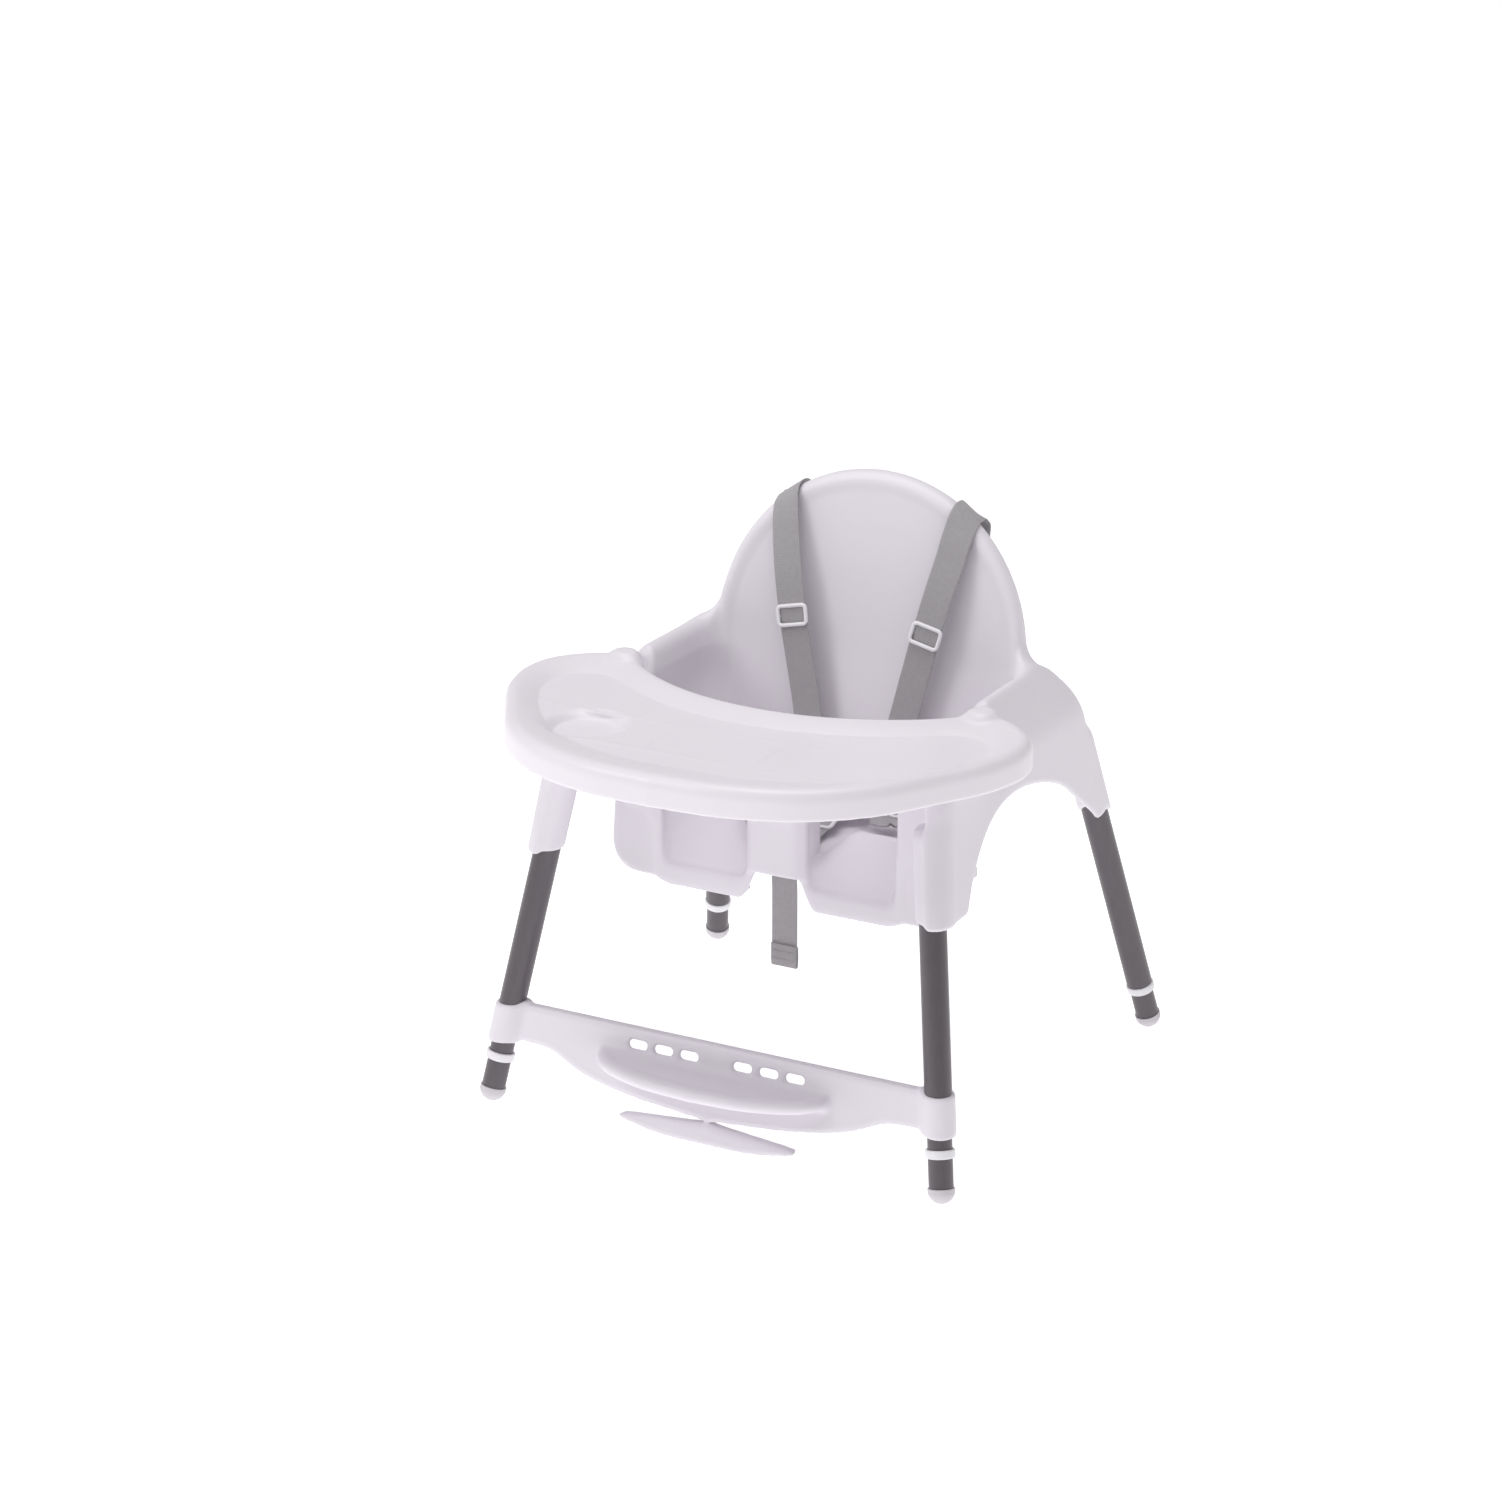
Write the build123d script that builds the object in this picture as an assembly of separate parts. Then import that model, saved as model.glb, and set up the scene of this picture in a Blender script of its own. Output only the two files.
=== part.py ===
from build123d import *
import os

# Baby high chair in its low form. Millimetres, +Z up, the chair faces -Y, symmetric about X = 0.
# The origin is the centre of the footprint, on the floor.

# Legs: where each leg's axis meets the floor, and how far it leans for each mm of height.
FRONT_FOOT = Vector(263.4, -200.4, 0)
FRONT_LEAN = Vector(-0.153, 0.206, 1)
REAR_FOOT = Vector(272.0, 312.3, 0)
REAR_LEAN = Vector(-0.166, -0.266, 1)

UPPER_TUBE_R = 14.0
TUBE_WALL = 1.4
FIT_GAP = 0.05
TUBE_TOP_Z = 345.0
SOCKET_R = 17.0
SOCKET_BOTTOM_Z = 265.0
UPPER_TUBE_FRONT_Z = 88.0
UPPER_TUBE_REAR_Z = 54.2
LOWER_TUBE_BOTTOM_Z = 15.0
LOWER_TUBE_TOP_Z = 150.0
RING_R = 15.2
RING_Z = 49.0
RING_HEIGHT = 9.0
FOOT_R = 14.0
FOOT_CENTRE_Z = 13.0
FOOT_PLUG_LENGTH = 14.0

# Snap buttons in the legs.
SNAP_R = 3.4
SNAP_OUT = 18.2
SNAP_IN = 6.5
LEAF_LENGTH = 34.0
LEAF_WIDTH = 7.0
LEAF_THICKNESS = 0.8

# Screws that hold the leg tubes in the seat and the footrest on the front legs.
SCREW_R = 2.0
SCREW_HEAD_R = 4.2
SCREW_HEAD = 2.4
SCREW_Z = 305.0
REST_SCREW_Z = 96.0

# Seat moulding.
WALL = 4.0
DECK_Z = 424.0
ARM_TOP_Z = 451.0
SKIRT_TOP_X = 226.0
SKIRT_TOP_FRONT_Y = -133.0
SKIRT_TOP_REAR_Y = 219.0
SKIRT_BOTTOM_Z = 262.0
SKIRT_BOTTOM_FRONT_X = 243.0
SKIRT_BOTTOM_REAR_X = 249.0
SKIRT_BOTTOM_FRONT_Y = -166.0
SKIRT_BOTTOM_REAR_Y = 262.0
TUB_TOP_X = 186.0
TUB_X = 195.0
APRON_Y = -54.5
APRON_BOTTOM_Z = 222.0
APRON_CORNER_R = 35.0
APRON_TOP_Z = 404.0
FLANGE_INNER_X = 138.0
POST_HALF_WIDTH = 33.0
POST_FRONT_Y = -65.5
NOTCH_TOP_Z = 252.0
NOTCH_TOP_HALF = 25.0
NOTCH_BOTTOM_HALF = 38.6
SEAT_Z = 264.0
SEAT_REAR_Y = 124.0
HUMP_CREST = (-24.5, 305.0)
LIP_TOP_Z = 240.0
BACK_KNEE = (152.0, 450.0)
BACK_TOP_Y = 172.0
BACK_CENTRE_Z = 447.0
BACK_R = 180.0
BACK_SAG = 8.0
RIM_DEPTH = 16.0
ARM_STEP_Y = 12.0
ARM_REAR_Y = 186.0
WAIST_SLOT = (104.0, 300.0)
CROTCH_SLOT_Y = -36.5
DECK_SLOT_Y = 169.0
SLOT_WIDTH = 34.0
SLOT_HEIGHT = 5.0

# Tray.
TRAY_RIM_Z = 445.0
TRAY_FLOOR_Z = 434.0
TRAY_PLATE = 3.5
TRAY_SKIRT_Z = 412.0
TRAY_WALL = 3.5
TRAY_FRONT_Y = -322.5
TRAY_HALF_WIDTH = 287.0
TRAY_REAR_X = 178.0
TRAY_REAR_Y = -16.0
TRAY_REAR_MID_Y = -82.5
CUP_CENTRE = (-147.0, -187.5)
CUP_R = 40.0
CUP_DEPTH = 8.0
LUG = (207.0, -6.0)
LUG_R = 13.0
LUG_TOP_Z = 450.0

# Tray catches, one under each rear corner.
CATCH_Y = -50.0
CATCH_WIDTH = 24.0
CATCH_IN_X = 225.5
CATCH_OUT_X = 268.0
CATCH_Z = 416.5
CATCH_THICKNESS = 5.0
CATCH_CLEAR = 0.4
CATCH_TAB_X = 258.0
CATCH_TAB_Z = 406.0

# Footrest.
REST_TOP_Z = 107.0
REST_SLEEVE_Z = 67.0
REST_SLEEVE_R = 17.0
REST_THICKNESS = 5.0
REST_BELLY_Z = 12.0
SHELF_HALF_WIDTH = 134.0
SHELF_DEPTH = 62.0
SHELF_Z = 84.0
SHELF_THICKNESS = 14.0
OVAL_Z = 92.0
OVAL_CENTRES = (31.0, 61.0, 91.0)
OVAL_SIZE = (21.0, 9.0)

# Harness.
WEB_WIDTH = 30.0
WEB_THICKNESS = 1.6
SHOULDER_LEAN = 0.214
SHOULDER_TOP = Vector(104.0, 180.0, 594.0)
BUCKLE = Vector(0, 88.0, 290.0)
BUCKLE_SIZE = (58.0, 44.0, 15.0)
BUTTON_R = 9.0
TONGUE_X = 50.0
WAIST_FOLD = (98.0, 16.0)
GLIDE_GAP = 0.3


def leg_point(foot, lean, z, side=1):
    """Point of a leg's axis at height z, on the right (side 1) or the left (side -1)."""
    point = foot + lean * z
    return Vector(side * point.X, point.Y, z)


def leg_plane(foot, lean, z, side=1):
    """Plane across a leg at height z; its normal runs up the leg."""
    along = Vector(side * lean.X, lean.Y, lean.Z).normalized()
    across = Vector(1, 0, 0).cross(along)
    return Plane(leg_point(foot, lean, z, side), x_dir=across.cross(along), z_dir=along)


def leg_rod(foot, lean, low, high, radius, side=1):
    """Round rod on a leg's axis between two heights."""
    plane = leg_plane(foot, lean, low, side)
    length = (leg_point(foot, lean, high, side) - plane.origin).length
    return extrude(plane * Circle(radius), length)


def both_sides(solid):
    return solid + mirror(solid, Plane.YZ)


def block(x0, x1, y0, y1, z0, z1):
    return Pos((x0 + x1) / 2, (y0 + y1) / 2, (z0 + z1) / 2) * Box(x1 - x0, y1 - y0, z1 - z0)


def yz_sheet(points, x0, x1, thickness=WALL):
    """Sheet that follows a side-view line of (y, z) points, from x0 to x1."""
    face = Plane.YZ.offset(x0) * trace(Polyline(*points), thickness)
    return extrude(face, x1 - x0, dir=(1, 0, 0))


def yz_prism(points, x0, x1):
    face = make_face(Plane.YZ.offset(x0) * Polyline(*points, close=True))
    return extrude(face, x1 - x0, dir=(1, 0, 0))


def xz_prism(edges, y0, y1):
    """Solid from a front-view outline, between two values of y."""
    face = make_face(Plane.XZ.offset(-y0) * edges)
    return extrude(face, y1 - y0, dir=(0, 1, 0))


# Legs

def make_leg(front, side):
    foot, lean = (FRONT_FOOT, FRONT_LEAN) if front else (REAR_FOOT, REAR_LEAN)
    bottom = UPPER_TUBE_FRONT_Z if front else UPPER_TUBE_REAR_Z
    snap = snap_axis(foot, lean, side)

    upper = leg_rod(foot, lean, bottom, TUBE_TOP_Z, UPPER_TUBE_R, side)
    upper -= leg_rod(foot, lean, bottom - 5, TUBE_TOP_Z + 5, UPPER_TUBE_R - TUBE_WALL, side)
    lower_r = UPPER_TUBE_R - TUBE_WALL - FIT_GAP
    lower = leg_rod(foot, lean, LOWER_TUBE_BOTTOM_Z, LOWER_TUBE_TOP_Z, lower_r, side)
    lower -= leg_rod(foot, lean, 0, LOWER_TUBE_TOP_Z + 5, lower_r - TUBE_WALL, side)
    lower -= rod_along(snap, 0, SNAP_OUT + 5, SNAP_R + FIT_GAP * 2)

    low_ring = RING_Z - RING_HEIGHT / 2
    ring = leg_rod(foot, lean, low_ring, low_ring + RING_HEIGHT, RING_R, side)
    ring -= leg_rod(foot, lean, low_ring - 5, low_ring + RING_HEIGHT + 5, lower_r + FIT_GAP, side)
    ring -= rod_along(snap, 0, SNAP_OUT + 5, SNAP_R + FIT_GAP * 2)

    screw = screw_plane(foot, lean, side)
    upper -= rod_along(screw, 0, SOCKET_R + 5, SCREW_R + FIT_GAP * 2)
    if front:
        rest_screw = rest_screw_plane(side)
        upper -= rod_along(rest_screw, 0, SOCKET_R + 5, SCREW_R + FIT_GAP * 2)
        lower -= rod_along(rest_screw, 0, SOCKET_R + 5, SCREW_R + FIT_GAP * 2)
    return upper, lower, ring, make_foot_cap(foot, lean, side, lower_r), make_snap(snap)


def make_foot_cap(foot, lean, side, tube_r):
    """Domed foot with a small flat on the floor and a plug inside the tube."""
    top = LOWER_TUBE_BOTTOM_Z - 0.02
    dome = Pos(*leg_point(foot, lean, FOOT_CENTRE_Z, side)) * Sphere(FOOT_R)
    dome = dome & leg_rod(foot, lean, -20, top, FOOT_R - 0.2, side)
    dome = dome & block(-400, 400, -400, 400, 0, 60)
    plug = leg_rod(foot, lean, FOOT_CENTRE_Z, top + FOOT_PLUG_LENGTH, tube_r - TUBE_WALL - FIT_GAP, side)
    return dome + plug


def snap_axis(foot, lean, side):
    """Plane at the ring whose normal points back, square to the leg."""
    return cross_plane(foot, lean, RING_Z, side, Vector(0, 1, 0))


def rod_along(plane, start, end, radius):
    return extrude(plane.offset(start) * Circle(radius), end - start)


def make_snap(plane):
    button = rod_along(plane, SNAP_IN, SNAP_OUT, SNAP_R)
    tip = button.faces().sort_by_distance(plane.offset(SNAP_OUT).origin)[0]
    button = fillet(tip.edges(), 1.2)
    leaf = plane.offset(SNAP_IN - LEAF_THICKNESS) * Pos(LEAF_LENGTH / 2 - LEAF_WIDTH / 2, 0, 0)
    leaf = extrude(leaf * RectangleRounded(LEAF_LENGTH, LEAF_WIDTH, 3.0), LEAF_THICKNESS)
    return button, leaf


# Seat

def skirt_solid(inset, top):
    """Splayed body of the arms, sides and back, drawn in by inset and cut at the height top."""
    def level(z, front_x, rear_x, front_y, rear_y, radius):
        outline = Polyline((-front_x, front_y), (front_x, front_y), (rear_x, rear_y), (-rear_x, rear_y),
                           close=True)
        face = make_face(Plane.XY.offset(z) * outline)
        face = fillet(face.vertices(), radius)
        return offset(face, -inset) if inset else face

    low = level(SKIRT_BOTTOM_Z, SKIRT_BOTTOM_FRONT_X, SKIRT_BOTTOM_REAR_X,
                SKIRT_BOTTOM_FRONT_Y, SKIRT_BOTTOM_REAR_Y, 19)
    high = level(DECK_Z, SKIRT_TOP_X, SKIRT_TOP_X, SKIRT_TOP_FRONT_Y, SKIRT_TOP_REAR_Y, 34)
    solid = loft([low, high], ruled=True)
    return solid & block(-400, 400, -400, 400, SKIRT_BOTTOM_Z - 1, top)


def tub_outline(inset):
    """Front view of the tub: straight sides, a rounded bottom corner each side."""
    top_x = TUB_TOP_X - inset
    side_x = TUB_X - inset
    bottom = APRON_BOTTOM_Z + inset
    radius = APRON_CORNER_R - inset
    return Polyline((-top_x, 460), (-top_x, DECK_Z), (-side_x, 300), (-side_x, bottom + radius)) + \
        RadiusArc((-side_x, bottom + radius), (-side_x + radius, bottom), -radius) + \
        Line((-side_x + radius, bottom), (side_x - radius, bottom)) + \
        RadiusArc((side_x - radius, bottom), (side_x, bottom + radius), -radius) + \
        Polyline((side_x, bottom + radius), (side_x, 300), (top_x, DECK_Z), (top_x, 460)) + \
        Line((top_x, 460), (-top_x, 460))


def back_y(z):
    """Mid-plane of the back at height z, on the centre line."""
    knee_y, knee_z = BACK_KNEE
    if z < knee_z:
        return knee_y - (knee_z - z) * (knee_y - SEAT_REAR_Y) / (knee_z - SEAT_Z)
    return knee_y + (z - knee_z) * (BACK_TOP_Y - knee_y) / (BACK_CENTRE_Z + BACK_R - knee_z)


def back_stretch(low, high):
    """Part of the back between two heights: a shallow arc in plan, pushed along its slope."""
    y = back_y(low)
    arc = ThreePointArc((-TUB_X, y - BACK_SAG), (0, y), (TUB_X, y - BACK_SAG))
    face = Plane.XY.offset(low) * trace(arc, WALL)
    rise = Vector(0, back_y(high) - y, high - low)
    return extrude(face, rise.length, dir=rise.normalized())


def back_disc(radius, y0, y1):
    """Front view of the back: a half disc on straight sides."""
    x = TUB_TOP_X - (BACK_R - radius)
    disc = Pos(0, 0, BACK_CENTRE_Z) * Rot(90, 0, 0) * Cylinder(radius, 2 * abs(y1 - y0))
    disc = disc & block(-300, 300, y0, y1, BACK_CENTRE_Z - 1, 700)
    return disc + block(-x, x, y0, y1, SEAT_Z, BACK_CENTRE_Z)


def make_back():
    sheet = back_stretch(SEAT_Z - WALL / 2, BACK_KNEE[1])
    sheet += back_stretch(BACK_KNEE[1], BACK_CENTRE_Z + BACK_R + 5)
    sheet = sheet & back_disc(BACK_R, 60, 240)
    rim = Pos(0, 0, BACK_CENTRE_Z) * Rot(90, 0, 0) * (Cylinder(BACK_R, 400) - Cylinder(BACK_R - WALL, 420))
    front = back_y(BACK_CENTRE_Z)
    slope = (BACK_TOP_Y - BACK_KNEE[0]) / (BACK_CENTRE_Z + BACK_R - BACK_KNEE[1])
    low, high = BACK_CENTRE_Z - 12, BACK_CENTRE_Z + BACK_R + 5
    run = (high - low) * slope
    band = [(front - BACK_SAG, low), (front + RIM_DEPTH, low), (front + RIM_DEPTH + run, high),
            (front - BACK_SAG + run, high)]
    rim = rim & yz_prism(band, -200, 200)
    return sheet + rim


def make_seat_pan():
    """Seat floor, with a hump over each leg opening that runs down into the front apron."""
    hump = [(APRON_Y + WALL / 2, APRON_BOTTOM_Z + WALL / 2), (APRON_Y + WALL / 2, LIP_TOP_Z), HUMP_CREST,
            (10, SEAT_Z), (SEAT_REAR_Y, SEAT_Z)]
    flat = [(APRON_Y + WALL / 2, SEAT_Z), (SEAT_REAR_Y, SEAT_Z)]
    pan = yz_sheet(hump, POST_HALF_WIDTH, TUB_X)
    pan += mirror(pan, Plane.YZ)
    pan += yz_sheet(flat, -POST_HALF_WIDTH, POST_HALF_WIDTH)
    gusset = [(APRON_Y, LIP_TOP_Z), (APRON_Y, 300), (-20, 304), (8, SEAT_Z), (-40, SEAT_Z)]
    pan += both_sides(yz_prism(gusset, POST_HALF_WIDTH - WALL, POST_HALF_WIDTH))
    return pan & xz_prism(tub_outline(0), APRON_Y - 5, 260)


def make_apron():
    """Front flanges, lower lip and crotch post, with the notch under the post."""
    apron = xz_prism(tub_outline(0), APRON_Y, APRON_Y + WALL)
    apron = apron & block(-300, 300, -100, 0, 200, APRON_TOP_Z)
    apron -= both_sides(block(POST_HALF_WIDTH, FLANGE_INNER_X, -100, 0, LIP_TOP_Z, 500))
    returns = yz_prism([(APRON_Y, LIP_TOP_Z), (APRON_Y, APRON_TOP_Z), (APRON_Y + 30, APRON_TOP_Z),
                        (APRON_Y + 30, LIP_TOP_Z)], FLANGE_INNER_X, FLANGE_INNER_X + WALL)
    apron += both_sides(returns)
    post = block(-POST_HALF_WIDTH, POST_HALF_WIDTH, POST_FRONT_Y, APRON_Y + WALL, APRON_BOTTOM_Z, APRON_TOP_Z)
    post = chamfer(post.edges().filter_by(Axis.Z).group_by(Axis.Y)[0], 8)
    hollow = block(-POST_HALF_WIDTH + WALL, POST_HALF_WIDTH - WALL, POST_FRONT_Y + WALL, 0,
                   APRON_BOTTOM_Z - 5, APRON_TOP_Z - WALL)
    hollow = chamfer(hollow.edges().filter_by(Axis.Z).group_by(Axis.Y)[0], 6)
    notch = Polyline((-NOTCH_BOTTOM_HALF, 200), (-NOTCH_BOTTOM_HALF, APRON_BOTTOM_Z),
                     (-NOTCH_TOP_HALF, NOTCH_TOP_Z), (NOTCH_TOP_HALF, NOTCH_TOP_Z),
                     (NOTCH_BOTTOM_HALF, APRON_BOTTOM_Z), (NOTCH_BOTTOM_HALF, 200), close=True)
    return apron + post - hollow - xz_prism(notch, -100, -20)


def make_tub_sides():
    """Side walls of the tub, from the apron to the back."""
    walls = xz_prism(tub_outline(0), APRON_Y, 170) - xz_prism(tub_outline(WALL), APRON_Y - 5, 200)
    keep = [(APRON_Y, APRON_BOTTOM_Z), (APRON_Y + 14, APRON_BOTTOM_Z), (0, SEAT_Z - WALL / 2),
            (SEAT_REAR_Y + 3, SEAT_Z - WALL / 2), (back_y(DECK_Z) + WALL / 2 - BACK_SAG, DECK_Z),
            (APRON_Y, DECK_Z)]
    walls = walls & yz_prism(keep, -300, 300)
    return walls - block(-160, 160, -100, 300, 200, 500)


def make_arms():
    """Skirt with its side and rear arches, deck and raised arm rests."""
    skirt = skirt_solid(0, DECK_Z) - skirt_solid(WALL, DECK_Z - WALL)
    skirt -= block(-TUB_TOP_X + WALL, TUB_TOP_X - WALL, -300, back_y(DECK_Z), 200, 500)
    arch = Plane.YZ.offset(TUB_X + 2) * (
        Spline((-104, 255), (-104, 272), (-72.5, 317), (-17.5, 352), (32, 357), (84, 348), (140, 325),
               (181, 293), (196, 255)) + Line((196, 255), (-104, 255)))
    skirt -= both_sides(extrude(make_face(arch), 80, dir=(1, 0, 0)))
    rear_arch = Plane.XZ.offset(-226) * (
        Spline((-192, 255), (-172, 310), (-100, 350), (0, 362), (100, 350), (172, 310), (192, 255)) +
        Line((192, 255), (-192, 255)))
    skirt -= extrude(make_face(rear_arch), 60, dir=(0, 1, 0), both=True) & block(
        -300, 300, SEAT_REAR_Y + 50, 300, 200, 400)

    def arm_bar(inset, y0, y1):
        top = ARM_TOP_Z - inset
        outline = Polyline((180 + inset, DECK_Z - WALL - inset), (180 + inset, top - 5), (186 + inset, top),
                           (202 - inset / 2, top), (222 - inset * 1.2, DECK_Z + 2 - inset),
                           (222 - inset * 1.2, DECK_Z - WALL - inset), close=True)
        return xz_prism(outline, y0, y1)

    rest = both_sides(arm_bar(0, ARM_STEP_Y, ARM_REAR_Y))
    cavity = both_sides(arm_bar(WALL, ARM_STEP_Y + WALL, ARM_REAR_Y - WALL))
    return skirt + rest - cavity


def make_sockets():
    solid = None
    for foot, lean in ((FRONT_FOOT, FRONT_LEAN), (REAR_FOOT, REAR_LEAN)):
        post = leg_rod(foot, lean, SOCKET_BOTTOM_Z, DECK_Z - 8, SOCKET_R)
        post -= leg_rod(foot, lean, SOCKET_BOTTOM_Z - 10, TUBE_TOP_Z, UPPER_TUBE_R + FIT_GAP)
        post -= rod_along(screw_plane(foot, lean, 1), 0, SOCKET_R + 5, SCREW_R + FIT_GAP * 2)
        solid = post if solid is None else solid + post
    return both_sides(solid)


def socket_clearance():
    solid = leg_rod(FRONT_FOOT, FRONT_LEAN, SOCKET_BOTTOM_Z - 30, TUBE_TOP_Z, UPPER_TUBE_R + FIT_GAP)
    solid += leg_rod(REAR_FOOT, REAR_LEAN, SOCKET_BOTTOM_Z - 30, TUBE_TOP_Z, UPPER_TUBE_R + FIT_GAP)
    return both_sides(solid)


def make_seat_shell():
    seat = make_back() + make_seat_pan() + make_apron() + make_tub_sides() + make_arms() + make_sockets()
    seat -= socket_clearance()
    slot_x, slot_z = WAIST_SLOT
    slot = block(slot_x - SLOT_WIDTH / 2, slot_x + SLOT_WIDTH / 2, 60, back_y(slot_z) + 30,
                 slot_z - SLOT_HEIGHT / 2, slot_z + SLOT_HEIGHT / 2)
    deck_slot = block(slot_x - SLOT_WIDTH / 2, slot_x + SLOT_WIDTH / 2, DECK_SLOT_Y - 9, DECK_SLOT_Y + 9,
                      DECK_Z - 10, DECK_Z + 2)
    seat -= both_sides(slot + deck_slot)
    seat -= block(-SLOT_WIDTH / 2, SLOT_WIDTH / 2, CROTCH_SLOT_Y - SLOT_HEIGHT / 2,
                  CROTCH_SLOT_Y + SLOT_HEIGHT / 2, NOTCH_TOP_Z - 5, SEAT_Z + 10)
    groove = block(CATCH_IN_X - 0.5, 240, -200, CATCH_Y + CATCH_WIDTH / 2 + 2, CATCH_Z - 4,
                   CATCH_Z + CATCH_THICKNESS + 1.5)
    return seat - both_sides(groove)


# Screws

def cross_plane(foot, lean, z, side, towards):
    """Plane on a leg's axis whose normal is square to the leg and points the way of towards."""
    along = leg_plane(foot, lean, z, side).z_dir
    normal = (towards - along * along.dot(towards)).normalized()
    return Plane(leg_point(foot, lean, z, side), x_dir=along, z_dir=normal)


def screw_plane(foot, lean, side):
    """The socket screws go in from the rear of the front legs and from the inner side of the rear legs."""
    towards = Vector(0, 1, 0) if foot is FRONT_FOOT else Vector(-side, 0, 0)
    return cross_plane(foot, lean, SCREW_Z, side, towards)


def rest_screw_plane(side):
    return cross_plane(FRONT_FOOT, FRONT_LEAN, REST_SCREW_Z, side, Vector(0, 1, 0))


def make_screw(plane, inner, outer):
    head = rod_along(plane, outer + 0.1, outer + 0.1 + SCREW_HEAD, SCREW_HEAD_R)
    return rod_along(plane, inner, outer + 0.1, SCREW_R) + head


def make_socket_screws():
    solids = [make_screw(screw_plane(foot, lean, side), 8, SOCKET_R)
              for foot, lean in ((FRONT_FOOT, FRONT_LEAN), (REAR_FOOT, REAR_LEAN)) for side in (-1, 1)]
    return Compound(solids)


def make_rest_screws():
    return Compound([make_screw(rest_screw_plane(side), 6, REST_SLEEVE_R) for side in (-1, 1)])


# Tray

def tray_face(half, rear_mid_y):
    """Plan shape from the points of one side, closed by an arc along the child's edge."""
    left = [(-x, y) for x, y in reversed(half[1:])]
    edge = Spline(*left, *half)
    rear_x, rear_y = half[-1]
    return make_face([edge, ThreePointArc((rear_x, rear_y), (0, rear_mid_y), (-rear_x, rear_y))])


def tray_outline(inset):
    """Plan of the tray: bowed front, wide round sides, and a concave edge towards the child."""
    half = [(0, TRAY_FRONT_Y), (80, -316), (150, -291), (205, -246), (246, -183), (278, -122),
            (TRAY_HALF_WIDTH, -76), (280, -42), (258, -14), (228, 4), (205, 8), (190, 2),
            (TRAY_REAR_X, TRAY_REAR_Y)]
    moved = [(0, TRAY_FRONT_Y + inset)]
    for (x0, y0), (x, y), (x1, y1) in zip(half, half[1:], half[2:]):
        along = Vector(x1 - x0, y1 - y0).normalized()
        moved.append((x - along.Y * inset, y + along.X * inset))
    moved.append((TRAY_REAR_X - inset * 0.3, TRAY_REAR_Y - inset))
    return tray_face(moved, TRAY_REAR_MID_Y - inset)


def tray_floor():
    """Plan of the dished floor inside the rim."""
    half = [(0, -265), (75, -260), (140, -238), (190, -198), (226, -150), (247, -105), (249, -78),
            (238, -58), (218, -48), (200, -48), (184, -56)]
    return tray_face(half, -118)


def lift(face, low, high):
    return extrude(Pos(0, 0, low) * face, high - low, dir=(0, 0, 1))


def make_tray():
    tray = lift(tray_outline(0), TRAY_SKIRT_Z, TRAY_RIM_Z)
    tray -= lift(tray_outline(TRAY_WALL), TRAY_SKIRT_Z - 5, TRAY_FLOOR_Z - TRAY_PLATE)
    tray -= lift(tray_floor(), TRAY_FLOOR_Z, TRAY_RIM_Z + 5)
    cup = Pos(*CUP_CENTRE, TRAY_FLOOR_Z)
    tray += cup * Pos(0, 0, -CUP_DEPTH / 2 - TRAY_PLATE / 2) * Cylinder(CUP_R + 3, CUP_DEPTH + TRAY_PLATE)
    tray -= cup * Pos(0, 0, -CUP_DEPTH / 2 + 5) * Cylinder(CUP_R, CUP_DEPTH + 10)
    lug = Pos(*LUG, 0) * Pos(0, 0, (TRAY_RIM_Z - 4 + LUG_TOP_Z) / 2) * Cylinder(
        LUG_R, LUG_TOP_Z - TRAY_RIM_Z + 4)
    tray += both_sides(lug)
    rail_way = block(TUB_TOP_X - 12, SKIRT_TOP_X + 8, -80, 60, TRAY_SKIRT_Z - 5, DECK_Z + 0.4)
    rear_way = block(TUB_TOP_X - 12, SKIRT_TOP_X + 8, -30, 60, TRAY_SKIRT_Z - 5, TRAY_FLOOR_Z - TRAY_PLATE)
    step_way = block(TUB_TOP_X - 12, 400, ARM_STEP_Y - 0.5, 60, TRAY_SKIRT_Z - 5, 500)
    tray -= both_sides(rail_way + rear_way + step_way)
    return tray + make_catch_guides()


def make_catch_guides():
    """Pair of lipped ribs under each rear corner that carry the sliding catch."""
    half = CATCH_WIDTH / 2 + CATCH_CLEAR
    low = CATCH_Z - CATCH_CLEAR - 3
    guide = None
    for sign in (-1, 1):
        y0, y1 = sorted((CATCH_Y + sign * half, CATCH_Y + sign * (half + 3)))
        lip0, lip1 = sorted((CATCH_Y + sign * (half - 3), CATCH_Y + sign * (half + 3)))
        rib = block(236, 272, y0, y1, low, TRAY_FLOOR_Z - TRAY_PLATE + 1)
        rib += block(236, 252, lip0, lip1, low, low + 2.8)
        guide = rib if guide is None else guide + rib
    return both_sides(guide)


def make_catch():
    """Sliding catch: a tooth that sits in the arm's groove and a finger tab below the tray."""
    half = CATCH_WIDTH / 2
    catch = block(233, CATCH_OUT_X, CATCH_Y - half, CATCH_Y + half, CATCH_Z, CATCH_Z + CATCH_THICKNESS)
    catch += block(CATCH_IN_X, 233, CATCH_Y - half + 4, CATCH_Y + half - 4, CATCH_Z + 1,
                   CATCH_Z + CATCH_THICKNESS - 1)
    tab = block(CATCH_TAB_X, CATCH_OUT_X, CATCH_Y - half + 3, CATCH_Y + half - 3, CATCH_TAB_Z, CATCH_Z)
    tab = fillet(tab.edges().filter_by(Axis.Z), 3)
    return catch + tab


# Footrest

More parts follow.
